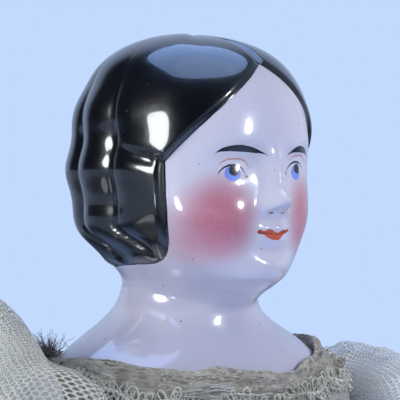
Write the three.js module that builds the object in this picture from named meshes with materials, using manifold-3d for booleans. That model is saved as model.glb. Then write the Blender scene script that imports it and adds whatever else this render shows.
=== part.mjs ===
// A china shoulder head doll with a stuffed muslin body, china limbs and a dress.
// Millimetres. The doll faces -Y, its left is +X, and it stands on z = 0 on the hem of its skirt.

import * as THREE from 'three';
import { mergeVertices } from 'three/addons/utils/BufferGeometryUtils.js';
import Module from 'manifold-3d';

const wasm = await Module();
wasm.setup();

const smooth = (value, low, high) => THREE.MathUtils.smoothstep(value, low, high);
const mix = THREE.MathUtils.lerp;
const point = (x, y, z) => new THREE.Vector3(x, y, z);

// Heights, from the floor up
const soleClearance = 2;
const shinLength = 148;
const thighLength = 122;
const hipRound = 14;
const seamGap = 0.4;
const hipsHeight = 45.6;
const chestHeight = 82;
const shoulderSeamDrop = 14;
const plateSideDrop = 35;
const plateFrontDrop = 49;
const skullHeight = 95;
const hairAtCrown = 2;

// Shoulder head
const skullHalfWidth = 38.2;
const skullFrontDepth = 46.5;
const skullBackDepth = 41.5;
const neckRadius = 24;
const shoulderHalfWidth = 66;
const plateFrontDepth = 39;
const plateBackDepth = 37.5;
const chinaWall = 4;
const hairAtBrow = 1.5;
const hairAtSide = 3.1;
const hairEdge = 3;
const rollDepth = 2.6;
const rollWave = 0.75;
const partDepth = 1;
const partHalfWidth = 1.3;
const templeAngle = THREE.MathUtils.degToRad(53);
const firstGrooveAngle = THREE.MathUtils.degToRad(85);
const rollCount = 3;
const rollTuckAngle = THREE.MathUtils.degToRad(24);
const sewHoleRadius = 1.9;
const sewHoleAcross = 26;
const sewHoleRise = 11;
const threadRadius = 0.42;

// Stuffed body
const chestHalfWidth = 64.5;
const chestFrontDepth = 39.5;
const chestBackDepth = 38.5;
const waistHalfWidth = 41.5;
const waistHalfDepth = 30.5;
const hipHalfWidth = 49;
const hipFrontDepth = 34;
const hipBackDepth = 38;
const bodyEase = 2.8;
const shoulderPlane = 70;
const shoulderStubRadius = 11;
const stubRoot = 20;

// Arms
const armCentre = 81;
const armSpread = 55;
const upperArmLength = 94;
const foreArmLength = 78;
const handLength = 36;
const armRadius = 11;
const wristRadius = 6;
const palmHalfWidth = 8.4;
const palmHalfThickness = 4;
const fingerRadius = 2.3;
const fingerLength = 15;
const thumbLength = 17;

// Legs
const legCentre = 22;
const thighRadius = 17.5;
const kneeRadius = 13;
const kneeRound = 11;
const kneeClothLength = 24;
const calfRadius = 13.5;
const ankleRadius = 8;
const ankleSetback = 4;
const bootLength = 44;
const bootHalfWidth = 8.5;
const bootHeight = 15;

// China limb ends that the cloth is tied to
const flangeHeight = 3;
const grooveHeight = 4.5;
const grooveDepth = 2.4;
const clothThickness = 1.6;
const tieRadius = 0.9;

// Dress and underclothes
const dressEase = 2.6;
const bodiceEase = 0.7;
const clothGauge = 1;
const armholeRadius = 14.5;
const neckBandHeight = 9;
const neckBandGauge = 2.2;
const neckBandRipple = 0.8;
const braidRadius = 1.7;
const braidScallop = 1.2;
const braidLoops = 16;
const waistBandRise = 10;
const waistBandDrop = 3;
const waistBandGauge = 1.6;
const hemHalfWidth = 152;
const hemHalfDepth = 146;
const hemHeight = 9;
const hemGauge = 3;
const skirtFlutes = 12;
const skirtFluteDepth = 5;
const petticoatInset = 5;
const petticoatClearance = 9;
const petticoatFlutes = 8;
const petticoatFluteDepth = 2.5;
const puffRadius = 33;
const puffHeight = 76;
const leftStand = 64;
const rightStand = 92;
const puffFlutes = 10;
const puffFluteDepth = 1.8;
const sleeveLength = 26;
const puffLean = 12;
const liningStandShare = 0.9;
const liningRadiusShare = 0.86;
const sleeveBandHeight = 6;
const sleeveBandGauge = 1.4;
const drawersLegLength = 96;
const buttonRadius = 3;
const buttonThickness = 1.8;
const buttonCount = 4;

// How close two pieces lie where one rests on the other, and how far a cut runs past what it cuts
const seat = 0.3;
const overrun = 6;

// How far the chords of one faceted ring may cut into the ring that lies on it
const facetEase = 0.5;

// How finely the curved forms are cut
const headColumns = 48;
const hollowColumns = 20;
const bodyColumns = 20;
const limbColumns = 12;
const tieSides = 4;
const braidSides = 5;

// How wide the arm is where the sleeve's band lies on it
const sleeveBandRadius = armRadius * 1.02 + seat;

// Levels that follow from the heights
const kneeLevel = soleClearance + shinLength;
const hipLevel = kneeLevel + thighLength;
const seatLevel = hipLevel + hipRound + seamGap;
const waistLevel = seatLevel + hipsHeight;
const shoulderLevel = waistLevel + chestHeight;
const neckLevel = shoulderLevel + shoulderSeamDrop + plateSideDrop;
const plateFrontLevel = neckLevel - plateFrontDrop;

// The head's three outlines, from the crown down to the neck.
// Each entry is a share of the skull's reach and a share of its height above the neck.
const frontSkullShares = [
  [0, 1], [0.285, 0.991], [0.535, 0.96], [0.72, 0.91], [0.85, 0.84], [0.93, 0.75],
  [0.962, 0.645], [0.947, 0.54], [0.935, 0.432], [0.93, 0.332], [0.925, 0.247], [0.918, 0.172],
  [0.878, 0.108], [0.775, 0.064], [0.665, 0.03],
];
const sideSkullShares = [
  [0, 1], [0.3, 0.99], [0.566, 0.951], [0.76, 0.887], [0.882, 0.796], [0.944, 0.694],
  [0.968, 0.588], [0.976, 0.484], [0.966, 0.384], [0.918, 0.289], [0.83, 0.211], [0.73, 0.147],
  [0.67, 0.105], [0.645, 0.071], [0.635, 0.037],
];
const backSkullShares = [
  [0, 1], [0.3, 0.99], [0.57, 0.951], [0.768, 0.885], [0.885, 0.79], [0.952, 0.684],
  [0.98, 0.576], [0.97, 0.463], [0.918, 0.358], [0.808, 0.263], [0.69, 0.189], [0.6, 0.137],
  [0.572, 0.095], [0.572, 0.063], [0.576, 0.032],
];

// From the neck out to the plate's edge: share of the way out, and share of the drop
const frontPlateShares = [
  [0.11, 0], [0.09, 0.09], [0.16, 0.194], [0.353, 0.316], [0.587, 0.449], [0.793, 0.602],
  [0.933, 0.776], [1, 1],
];
const sidePlateShares = [
  [0, 0], [0.048, 0.086], [0.19, 0.19], [0.405, 0.314], [0.619, 0.457], [0.81, 0.629],
  [0.94, 0.814], [1, 1],
];
const backPlateShares = [
  [0, 0], [0.074, 0.082], [0.267, 0.173], [0.504, 0.286], [0.704, 0.418], [0.859, 0.571],
  [0.956, 0.776], [1, 1],
];

// How square the section is at each row of the outlines: 2 is an ellipse
const fullnessShares = [
  2, 2.05, 2.1, 2.15, 2.2, 2.25, 2.3, 2.35, 2.35, 2.35, 2.3, 2.25,
  2.15, 2.05, 2, 2, 2, 2, 2.05, 2.1, 2.15, 2.2, 2.25,
];
const neckRow = frontSkullShares.length;
const plateRow = neckRow + frontPlateShares.length - 1;

// Where the dress's neckline lies, on the way from the neck out to the plate's edge, and how much
// further out the band's edge and the braid lie
const necklineShare = 0.585;
const neckBandShare = 0.15;
const braidShare = 0.214;
const necklineRow = mix(neckRow, plateRow, necklineShare);
const neckBandEdgeRow = mix(neckRow, plateRow, necklineShare + neckBandShare);
const braidRow = mix(neckRow, plateRow, necklineShare + braidShare);

// How the head's rings are spaced: from a row on, one ring to each step. They are closest at the brow.
const ringSpacingShares = [
  { from: 0.5, step: 0.5 },
  { from: 7.5, step: 0.35 },
  { from: 11, step: 0.5 },
  { from: neckRow, step: 1 },
];

// The forms of the face: shares of the skull's half width across, and of its height for the rest.
// Heights count from the neck up, and rise is forward.
const faceFormShares = [
  { across: 0.385, height: 0.5, wide: 0.1, tall: 0.075, rise: -0.03 },
  { across: 0.39, height: 0.493, wide: 0.056, tall: 0.043, rise: 0.015 },
  { across: 0.35, height: 0.59, wide: 0.09, tall: 0.042, rise: 0.006 },
  { across: 0.51, height: 0.32, wide: 0.13, tall: 0.12, rise: 0.018 },
  { across: 0, height: 0.47, wide: 0.036, tall: 0.085, rise: 0.042 },
  { across: 0, height: 0.388, wide: 0.04, tall: 0.038, rise: 0.066 },
  { across: 0.1, height: 0.368, wide: 0.027, tall: 0.024, rise: 0.026 },
  { across: 0.067, height: 0.289, wide: 0.038, tall: 0.019, rise: 0.016 },
  { across: 0, height: 0.249, wide: 0.05, tall: 0.022, rise: 0.014 },
  { across: 0, height: 0.204, wide: 0.075, tall: 0.028, rise: -0.013 },
  { across: 0, height: 0.147, wide: 0.085, tall: 0.053, rise: 0.02 },
];

// A china forearm's rings: [share of its length, how far from the wrist's size to the elbow's]
const foreArmShares = [
  [0.3, 1],
  [0.62, 0.52],
  [0.86, 0.06],
];
const wristFlatShare = 0.82;

// A palm's rings: [share of the hand's length, width, thickness]
const palmShares = [
  [0.18, 0.86, 1],
  [0.4, 1, 1],
  [0.62, 0.92, 0.8],
];
const fingerReachShares = [0.86, 1, 0.96, 0.78];
const thumbShares = { root: 0.2, aside: 0.6, spread: 0.45 };

// A boot's rings from the heel: [share of its length, width, height]
const bootShares = [
  [0, 0.5, 0.8],
  [0.06, 0.78, 1.1],
  [0.28, 0.86, 1.15],
  [0.5, 0.94, 0.84],
  [0.74, 1, 0.62],
  [0.92, 0.8, 0.5],
  [1, 0.42, 0.34],
];
const bootFullness = 2.3;
const heelShare = 1.2;

// Where the hair starts: heights above the neck as shares of the skull's height
const hairlineShares = { apex: 0.884, temple: 0.526, sideEdge: 0.163, nape: 0.122 };
const hairlineBend = 1.15;
const rollShares = {
  full: 0.56,
  faded: 0.95,
  tuckTop: 0.31,
  tuckEnd: 0.17,
  waveTop: 0.505,
  waveLength: 0.22,
};

// Solids

// Turns a closed indexed mesh the right way out and gives it flat facets
function closedBody(positions, faces) {
  const corner = (index) => positions[index];
  let volume = 0;
  for (const [a, b, c] of faces) {
    volume += corner(a).dot(corner(b).clone().cross(corner(c)));
  }
  const order = volume < 0 ? faces.map(([a, b, c]) => [a, c, b]) : faces;
  const geometry = new THREE.BufferGeometry();
  geometry.setFromPoints(positions);
  geometry.setIndex(order.flat());
  return geometry;
}

// A body through a stack of rings, with each end closed by a fan
function loftedBody(rings, startPoint, endPoint) {
  const columns = rings[0].length;
  const positions = rings.flat();
  const start = positions.push(startPoint ?? middleOf(rings[0])) - 1;
  const end = positions.push(endPoint ?? middleOf(rings.at(-1))) - 1;
  const faces = [];
  for (let column = 0; column < columns; column += 1) {
    const next = (column + 1) % columns;
    for (let row = 0; row < rings.length - 1; row += 1) {
      const a = row * columns + column;
      const b = row * columns + next;
      faces.push([a, b, b + columns], [a, b + columns, a + columns]);
    }
    const last = (rings.length - 1) * columns;
    faces.push([start, next, column], [end, last + column, last + next]);
  }
  return closedBody(positions, faces);
}

function middleOf(ring) {
  return ring.reduce((sum, corner) => sum.add(corner), point(0, 0, 0)).divideScalar(ring.length);
}

// Cloth between an outer and an inner grid of points, closed round its edges.
// A sheet that goes all the way round has no side edges.
function clothBody(outer, inner, goesRound) {
  const rows = outer.length;
  const columns = outer[0].length;
  const positions = [...outer.flat(), ...inner.flat()];
  const layer = rows * columns;
  const faces = [];
  const quad = (a, b, c, d) => faces.push([a, b, c], [a, c, d]);
  const at = (row, column) => row * columns + (column % columns);
  const spans = goesRound ? columns : columns - 1;
  for (let column = 0; column < spans; column += 1) {
    for (let row = 0; row < rows - 1; row += 1) {
      const corners = [at(row, column), at(row, column + 1), at(row + 1, column + 1), at(row + 1, column)];
      quad(...corners);
      quad(...corners.map((corner) => corner + layer).reverse());
    }
    const top = [at(0, column), at(0, column + 1)];
    const foot = [at(rows - 1, column), at(rows - 1, column + 1)];
    quad(top[1], top[0], top[0] + layer, top[1] + layer);
    quad(foot[0], foot[1], foot[1] + layer, foot[0] + layer);
  }
  if (!goesRound) {
    for (let row = 0; row < rows - 1; row += 1) {
      const near = [at(row, 0), at(row + 1, 0)];
      const far = [at(row, columns - 1), at(row + 1, columns - 1)];
      quad(near[0], near[1], near[1] + layer, near[0] + layer);
      quad(far[1], far[0], far[0] + layer, far[1] + layer);
    }
  }
  return closedBody(positions, faces);
}

function toSolid(geometry) {
  const bare = geometry.clone();
  bare.deleteAttribute('normal');
  bare.deleteAttribute('uv');
  const merged = mergeVertices(bare);
  return new wasm.Manifold(new wasm.Mesh({
    numProp: 3,
    vertProperties: new Float32Array(merged.attributes.position.array),
    triVerts: new Uint32Array(merged.index.array),
  }));
}

function toGeometry(solid) {
  const mesh = solid.getMesh();
  const geometry = new THREE.BufferGeometry();
  geometry.setAttribute('position', new THREE.BufferAttribute(mesh.vertProperties, 3));
  geometry.setIndex(new THREE.BufferAttribute(mesh.triVerts, 1));
  return geometry;
}

// A cylinder solid between two points
function rodSolid(from, to, radius, sides) {
  const length = from.distanceTo(to);
  const rod = new THREE.CylinderGeometry(radius, radius, length, sides);
  const along = to.clone().sub(from).normalize();
  rod.applyQuaternion(new THREE.Quaternion().setFromUnitVectors(point(0, 1, 0), along));
  const middle = from.clone().add(to).divideScalar(2);
  rod.translate(middle.x, middle.y, middle.z);
  return toSolid(rod);
}

function boxSolid(low, high) {
  const size = high.clone().sub(low);
  const box = new THREE.BoxGeometry(size.x, size.y, size.z);
  const middle = low.clone().add(high).divideScalar(2);
  box.translate(middle.x, middle.y, middle.z);
  return toSolid(box);
}

// Even angles round a section, from the front, crowded towards it
function sectionAngles(columns, crowding = 0) {
  return Array.from({ length: columns }, (_, column) => {
    const turn = (2 * Math.PI * column) / columns;
    return turn - crowding * Math.sin(turn);
  });
}

// One level section through a front, a side and a back outline point
function sectionPoint({ front, side, back, fullness }, angle) {
  const forwardShare = Math.cos(angle);
  const acrossShare = Math.sin(angle);
  const reach = forwardShare > 0 ? front : back;
  const power = 2 / fullness;
  return point(
    Math.sign(acrossShare) * Math.abs(acrossShare) ** power * side.x,
    -Math.sign(forwardShare) * Math.abs(forwardShare) ** power * reach.x,
    mix(side.y, reach.y, forwardShare ** 2),
  );
}

const sectionRing = (section, angles) => angles.map((angle) => sectionPoint(section, angle));

// A section pushed outward, and if need be up
function easedSection(section, out, up = 0) {
  const moved = (corner) => new THREE.Vector2(corner.x + out, corner.y + up);
  return {
    front: moved(section.front),
    side: moved(section.side),
    back: moved(section.back),
    fullness: section.fullness,
  };
}

const outlineAt = (outline, row) => new THREE.SplineCurve(outline).getPoint(row / (outline.length - 1));

// Shoulder head

function headOutline(skullShares, skullReach, plateShares, plateReach, plateDrop) {
  const skull = skullShares.map(([out, up]) => new THREE.Vector2(
    out * skullReach,
    neckLevel + up * skullHeight,
  ));
  const plate = plateShares.map(([out, down]) => new THREE.Vector2(
    mix(neckRadius, plateReach, out),
    neckLevel - down * plateDrop,
  ));
  return [...skull, ...plate];
}

const headOutlines = {
  front: headOutline(frontSkullShares, skullFrontDepth, frontPlateShares, plateFrontDepth, plateFrontDrop),
  side: headOutline(sideSkullShares, skullHalfWidth, sidePlateShares, shoulderHalfWidth, plateSideDrop),
  back: headOutline(backSkullShares, skullBackDepth, backPlateShares, plateBackDepth, plateFrontDrop),
};
const fullnessOutline = fullnessShares.map((fullness) => new THREE.Vector2(fullness, 0));

// The head's section at a row, moved inward square to the outlines
function headSection(row, inset = 0) {
  const section = { fullness: outlineAt(fullnessOutline, row).x };
  for (const [name, outline] of Object.entries(headOutlines)) {
    const tangent = new THREE.SplineCurve(outline).getTangent(row / plateRow);
    const inward = new THREE.Vector2(tangent.y, -tangent.x);
    section[name] = outlineAt(outline, row).add(inward.multiplyScalar(inset));
  }
  return section;
}

// The height above the neck at which hair starts, at an angle round from the face
function hairlineHeight(angle) {
  const fall = Math.min(angle / templeAngle, 1) ** hairlineBend;
  return mix(hairlineShares.apex, hairlineShares.temple, fall) * skullHeight;
}

// How far a point of the bare skull lies inside the hair: negative on the face and neck
function depthInHair(angle, radius, height) {
  const above = height - hairlineHeight(angle);
  const behind = (angle - templeAngle) * radius;
  const napeShare = mix(hairlineShares.sideEdge, hairlineShares.nape, smooth(angle, templeAngle, Math.PI));
  return Math.min(Math.max(above, behind), height - napeShare * skullHeight);
}

// The upright rolls behind the ears: 0 on a roll's crest and -1 in the groove between two
function rollProfile(angle, height) {
  const heightShare = height / skullHeight;
  const tuck = rollTuckAngle * (1 - smooth(heightShare, rollShares.tuckEnd, rollShares.tuckTop));
  const pitch = (Math.PI - firstGrooveAngle) / rollCount;
  const turns = (angle + tuck - firstGrooveAngle) / pitch;
  const groove = turns < -0.5 ? 0 : Math.abs(Math.sin(Math.PI * turns)) ** 0.7 - 1;
  return groove * (1 - smooth(heightShare, rollShares.full, rollShares.faded));
}

// The moulded hair's thickness over the skull
function hairThickness(spot) {
  const angle = Math.atan2(Math.abs(spot.x), -spot.y);
  const height = spot.z - neckLevel;
  const depth = depthInHair(angle, Math.hypot(spot.x, spot.y), height);
  if (depth <= 0) {
    return 0;
  }
  const edge = 1 - (1 - Math.min(depth / hairEdge, 1)) ** 2;
  const body = mix(hairAtBrow, hairAtSide, smooth(angle, templeAngle / 2, templeAngle))
    * (1 - smooth(height / skullHeight, rollShares.full, 1) / 2);
  const waveShare = (height / skullHeight - rollShares.waveTop) / rollShares.waveLength;
  const lower = 1 - smooth(height / skullHeight, rollShares.full, rollShares.faded);
  const onSide = lower * smooth(angle, templeAngle, firstGrooveAngle);
  const wave = rollWave * Math.cos(2 * Math.PI * waveShare) * onSide;
  const front = smooth(height / skullHeight, hairlineShares.temple, hairlineShares.apex);
  const parting = partDepth * Math.exp(-((spot.x / partHalfWidth) ** 2)) * front;
  return edge * (body + rollDepth * rollProfile(angle, height) + wave - parting);
}

// How far the features stand forward of the plain face
function faceRise(spot) {
  if (spot.y > 0) {
    return 0;
  }
  let rise = 0;
  for (const form of faceFormShares) {
    const across = (Math.abs(spot.x) - form.across * skullHalfWidth) / (form.wide * skullHeight);
    const up = (spot.z - neckLevel - form.height * skullHeight) / (form.tall * skullHeight);
    rise += form.rise * skullHeight * Math.exp(-(across ** 2) - up ** 2);
  }
  return rise;
}

function modelledPoint(spot) {
  const centre = neckLevel + rollShares.full * skullHeight;
  const away = point(spot.x, spot.y, Math.max(spot.z - centre, 0)).normalize();
  const forward = point(0, -faceRise(spot), 0);
  return spot.clone().addScaledVector(away, hairThickness(spot)).add(forward);
}

function headRows() {
  const rows = ringSpacingShares.flatMap(({ from, step }, index) => {
    const to = ringSpacingShares[index + 1]?.from ?? plateRow;
    return Array.from({ length: Math.round((to - from) / step) }, (_, ring) => from + ring * step);
  });
  return [...rows, plateRow];
}

function shoulderHead() {
  const angles = sectionAngles(headColumns, 0.35);
  const crown = point(0, 0, neckLevel + skullHeight + hairAtCrown);
  const outer = headRows().map((row) => sectionRing(headSection(row), angles).map(modelledPoint));
  const shell = toSolid(loftedBody(outer, crown));

  const hollowAngles = sectionAngles(hollowColumns);
  const hollow = [];
  for (let row = 2; row <= plateRow; row += row < neckRow ? 1.5 : 1) {
    hollow.push(sectionRing(headSection(row, chinaWall), hollowAngles));
  }
  hollow.push(sectionRing(headSection(plateRow, chinaWall), hollowAngles));
  const mouth = hollow.at(-1).map((corner) => point(corner.x, corner.y, plateFrontLevel - overrun));
  hollow.push(mouth);

  let solid = shell.subtract(toSolid(loftedBody(hollow)));
  for (const x of [-sewHoleAcross, sewHoleAcross]) {
    const level = plateFrontLevel + sewHoleRise;
    for (const reach of [-plateFrontDepth, plateBackDepth]) {
      const from = point(x, reach / 2, level);
      const to = point(x, reach + Math.sign(reach) * overrun, level);
      solid = solid.subtract(rodSolid(from, to, sewHoleRadius, 8));
    }
  }
  return toGeometry(solid);
}

// A thread loop through one sew hole and round the plate's edge
function sewTie(across, isFront) {
  const section = headSection(plateRow - 0.5);
  const reach = isFront ? section.front.x : section.back.x;
  const curve = (1 - (across / section.side.x) ** section.fullness) ** (1 / section.fullness);
  const wallMiddle = reach * curve - chinaWall / 2;
  const top = plateFrontLevel + sewHoleRise;
  const edgeDrop = (plateFrontDrop - plateSideDrop) * (across / shoulderHalfWidth) ** 2;
  const foot = plateFrontLevel + edgeDrop - threadRadius - seat * 3;
  const middle = (top + foot) / 2;
  const halfHeight = (top - foot) / 2;
  const halfDepth = chinaWall / 2 + threadRadius + seat * 5;
  const direction = isFront ? -1 : 1;
  const rings = [];
  const steps = 10;
  for (let step = 0; step < steps; step += 1) {
    const turn = (2 * Math.PI * step) / steps;
    const squareness = 0.5;
    const out = Math.sign(Math.cos(turn)) * Math.abs(Math.cos(turn)) ** squareness;
    const up = Math.sign(Math.sin(turn)) * Math.abs(Math.sin(turn)) ** squareness;
    rings.push({ out: out * halfDepth, up: up * halfHeight, turn });
  }
  const path = rings.map(({ out, up }) => point(across, direction * (wallMiddle + out), middle + up));
  return closedTube(path, () => [threadRadius, threadRadius], tieSides);
}

// A tube whose path closes on itself
function closedTube(path, radiiAt, sides) {
  const count = path.length;
  const positions = [];
  const faces = [];
  const centre = middleOf(path);
  for (let step = 0; step < count; step += 1) {
    const along = path[(step + 1) % count].clone().sub(path[(step + count - 1) % count]).normalize();
    const out = path[step].clone().sub(centre);
    out.addScaledVector(along, -out.dot(along)).normalize();
    const aside = along.clone().cross(out);
    const [outRadius, asideRadius] = radiiAt(step);
    for (let side = 0; side < sides; side += 1) {
      const turn = (2 * Math.PI * side) / sides;
      positions.push(path[step].clone()
        .addScaledVector(out, Math.cos(turn) * outRadius)
        .addScaledVector(aside, Math.sin(turn) * asideRadius));
      const nextStep = (step + 1) % count;
      const nextSide = (side + 1) % sides;
      const a = step * sides + side;
      const b = step * sides + nextSide;
      const c = nextStep * sides + nextSide;
      const d = nextStep * sides + side;
      faces.push([a, b, c], [a, c, d]);
    }
  }
  return closedBody(positions, faces);
}

// Torso

// The stuffed body's sections below the plate, as shares of the chest's height and its sizes
function bodySections() {
  const make = (level, frontReach, sideReach, backReach, fullness) => ({
    front: new THREE.Vector2(frontReach, level),
    side: new THREE.Vector2(sideReach, level),
    back: new THREE.Vector2(backReach, level),
    fullness,
  });
  const underarm = shoulderLevel - shoulderStubRadius;
  const ribsShare = 0.32;
  const midriffShare = 0.7;
  const between = (share) => [
    mix(underarm, waistLevel, share),
    mix(chestFrontDepth, waistHalfDepth, share),
    mix(chestHalfWidth, waistHalfWidth, share ** 1.15),
    mix(chestBackDepth, waistHalfDepth, share),
  ];
  const hipShare = 0.42;
  const fullHipShare = 0.78;
  const hipReach = (share) => [
    mix(waistHalfDepth, hipFrontDepth, share),
    mix(waistHalfWidth, hipHalfWidth, share),
    mix(waistHalfDepth, hipBackDepth, share),
  ];
  return [
    make(...between(0), 2.25),
    make(...between(ribsShare), 2.15),
    make(...between(midriffShare), 2.1),
    make(waistLevel, waistHalfDepth, waistHalfWidth, waistHalfDepth, 2.05),
    make(mix(waistLevel, seatLevel, hipShare), ...hipReach(0.5), 2.1),
    make(mix(waistLevel, seatLevel, fullHipShare), ...hipReach(1), 2.2),
    make(seatLevel, ...hipReach(0.4), 2.3),
  ];
}

const bodyRows = bodySections();

function torso() {
  const angles = sectionAngles(bodyColumns);
  const inset = chinaWall + bodyEase;
  const rings = [];
  for (let row = neckRow + 2; row <= plateRow; row += 1) {
    rings.push(sectionRing(headSection(row, inset), angles));
  }
  for (const section of bodyRows) {
    rings.push(sectionRing(section, angles));
  }
  let solid = toSolid(loftedBody(rings));
  for (const side of [-1, 1]) {
    const from = point(side * (shoulderPlane - stubRoot), 0, shoulderLevel);
    const to = point(side * (shoulderPlane - seat), 0, shoulderLevel);
    solid = solid.add(rodSolid(from, to, shoulderStubRadius, limbColumns));
  }
  return toGeometry(solid);
}

// Limbs

// A body swept through stations, each with its centre, its half width along `flat` and its half thickness
function sweptBody(stations, flat, sides, fullness = 2) {
  const rings = stations.map(({ centre, wide, thick }, index) => {
    const before = stations[Math.max(index - 1, 0)].centre;
    const after = stations[Math.min(index + 1, stations.length - 1)].centre;
    const along = (stations[index].along ?? after.clone().sub(before)).clone().normalize();
    const across = along.clone().cross(flat).normalize();
    return sectionAngles(sides).map((angle) => {
      const power = 2 / fullness;
      const wideShare = Math.sign(Math.cos(angle)) * Math.abs(Math.cos(angle)) ** power;
      const thickShare = Math.sign(Math.sin(angle)) * Math.abs(Math.sin(angle)) ** power;
      return centre.clone()
        .addScaledVector(flat, wideShare * wide)
        .addScaledVector(across, thickShare * thick);
    });
  });
  return loftedBody(rings);
}

// The flange and groove at a china limb's top, or the cavity for it when `clearance` is given
function limbEnd(top, down, radius, flat, clearance = 0) {
  const neck = radius - grooveDepth;
  const ring = (distance, size) => ({
    centre: top.clone().addScaledVector(down, distance),
    wide: size + clearance,
    thick: size + clearance,
    along: down,
  });
  return sweptBody([
    ring(-clearance, radius),
    ring(flangeHeight + clearance, radius),
    ring(flangeHeight + clearance * 2, neck),
    ring(flangeHeight + grooveHeight + overrun * Math.sign(clearance) + grooveDepth, neck),
  ], flat, limbColumns);
}

// The thread that binds the cloth into the groove
function limbTie(top, down, radius, flat) {
  const middle = top.clone().addScaledVector(down, flangeHeight + grooveHeight / 2 + seat * 2);
  const across = down.clone().cross(flat).normalize();
  const bound = radius - grooveDepth + seat + clothThickness + seat + tieRadius;
  const steps = 14;
  const path = Array.from({ length: steps }, (_, step) => {
    const turn = (2 * Math.PI * step) / steps;
    return middle.clone()
      .addScaledVector(flat, Math.cos(turn) * bound)
      .addScaledVector(across, Math.sin(turn) * bound);
  });
  return closedTube(path, () => [tieRadius, tieRadius * 1.4], tieSides);
}

const armFlat = point(0, 1, 0);

// Places along the arm on the doll's left: the elbow is the top of the china forearm
function armLine() {
  const fall = upperArmLength + foreArmLength + handLength;
  const down = point(armSpread, 0, -fall).normalize();
  const shoulder = point(armCentre, 0, shoulderLevel - shoulderStubRadius / 3);
  const elbow = shoulder.clone().addScaledVector(down, upperArmLength);
  const sleeveEnd = shoulder.clone().addScaledVector(down, sleeveLength);
  return { down, shoulder, elbow, sleeveEnd };
}

function upperArm() {
  const { down, shoulder, elbow } = armLine();
  const chinaRadius = armRadius - clothThickness;
  const outward = point(1, 0, 0);
  const ring = (centre, size, along) => ({ centre, wide: size, thick: size, along });
  const boundRadius = chinaRadius - grooveDepth + seat + clothThickness;
  const below = (distance) => elbow.clone().addScaledVector(down, distance);
  const bend = down.clone().add(outward);
  const stations = [
    ring(point(shoulderPlane, 0, shoulderLevel), shoulderStubRadius, outward),
    ring(point(mix(shoulderPlane, armCentre, 0.35), 0, shoulderLevel), shoulderStubRadius, outward),
    ring(shoulder.clone().addScaledVector(down, armRadius * 0.45), armRadius, bend),
    ring(shoulder.clone().addScaledVector(down, armRadius * 1.5), armRadius, down),
    ring(shoulder.clone().addScaledVector(down, upperArmLength * 0.6), armRadius * 1.04, down),
    ring(below(-seat), armRadius + seat, down),
    ring(below(flangeHeight + seat * 2), armRadius + seat, down),
    ring(below(flangeHeight + seat * 3 + clothThickness / 2), boundRadius, down),
    ring(below(flangeHeight + grooveHeight), boundRadius, down),
  ];
  const cloth = toSolid(sweptBody(stations, armFlat, limbColumns));
  return toGeometry(cloth.subtract(toSolid(limbEnd(elbow, down, chinaRadius, armFlat, seat))));
}

function foreArm() {
  const { down, elbow } = armLine();
  const chinaRadius = armRadius - clothThickness;
  const bottom = flangeHeight + grooveHeight + seat;
  const at = (distance) => elbow.clone().addScaledVector(down, distance);
  const ring = (distance, wide, thick) => ({
    centre: at(distance),
    wide,
    thick: thick ?? wide,
    along: down,
  });
  const arm = toSolid(sweptBody([
    ring(bottom, chinaRadius - grooveDepth / 2),
    ring(bottom + grooveDepth, chinaRadius + clothThickness / 2),
    ...foreArmShares.map(([along, full]) => ring(
      foreArmLength * along,
      mix(wristRadius, chinaRadius + clothThickness / 2, full),
    )),
    ring(foreArmLength, wristRadius, wristRadius * wristFlatShare),
    ...palmShares.map(([along, wide, thick]) => ring(
      foreArmLength + handLength * along,
      palmHalfWidth * wide,
      palmHalfThickness * thick,
    )),
  ], armFlat, limbColumns));
  const across = down.clone().cross(armFlat).normalize();
  const fingerRoot = foreArmLength + handLength - fingerLength - fingerRadius;
  let hand = arm.add(toSolid(limbEnd(elbow, down, chinaRadius, armFlat)));
  fingerReachShares.forEach((reach, index) => {
    const place = (index - (fingerReachShares.length - 1) / 2) / 2;
    const aside = place * palmHalfWidth * 1.02;
    const spot = (distance, curl) => at(distance)
      .addScaledVector(armFlat, aside)
      .addScaledVector(across, curl);
    const tip = fingerRoot + fingerLength * reach;
    const bump = (centre, size) => ({ centre, wide: size, thick: size, along: down });
    hand = hand.add(toSolid(sweptBody([
      bump(spot(fingerRoot - fingerLength / 2, 0), fingerRadius),
      bump(spot(fingerRoot + fingerLength * 0.4, fingerRadius * 0.1), fingerRadius),
      bump(spot(tip, fingerRadius * 0.4), fingerRadius * 0.85),
      bump(spot(tip + fingerRadius * 0.8, fingerRadius * 0.5), fingerRadius * 0.35),
    ], armFlat, 6)));
  });
  const thumbRoot = at(foreArmLength + handLength * thumbShares.root)
    .addScaledVector(armFlat, -palmHalfWidth * thumbShares.aside);
  const thumbLine = down.clone().addScaledVector(armFlat, -thumbShares.spread).normalize();
  const thumbAt = (distance, size) => ({
    centre: thumbRoot.clone().addScaledVector(thumbLine, distance),
    wide: size,
    thick: size,
    along: thumbLine,
  });
  const thumb = sweptBody([
    thumbAt(0, fingerRadius),
    thumbAt(thumbLength * 0.5, fingerRadius * 1.15),
    thumbAt(thumbLength * 0.85, fingerRadius * 0.95),
    thumbAt(thumbLength, fingerRadius * 0.4),
  ], thumbLine.clone().cross(across).normalize(), 6);
  return toGeometry(hand.add(toSolid(thumb)));
}

const legFlat = point(1, 0, 0);
const legDown = point(0, 0, -1);

// A soft limb end that turns in its seam: a half round across the doll
function roundSeam(level, radius, halfWidth) {
  const from = point(legCentre - halfWidth, 0, level);
  const to = point(legCentre + halfWidth, 0, level);
  return rodSolid(from, to, radius, limbColumns * 2);
}

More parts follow.
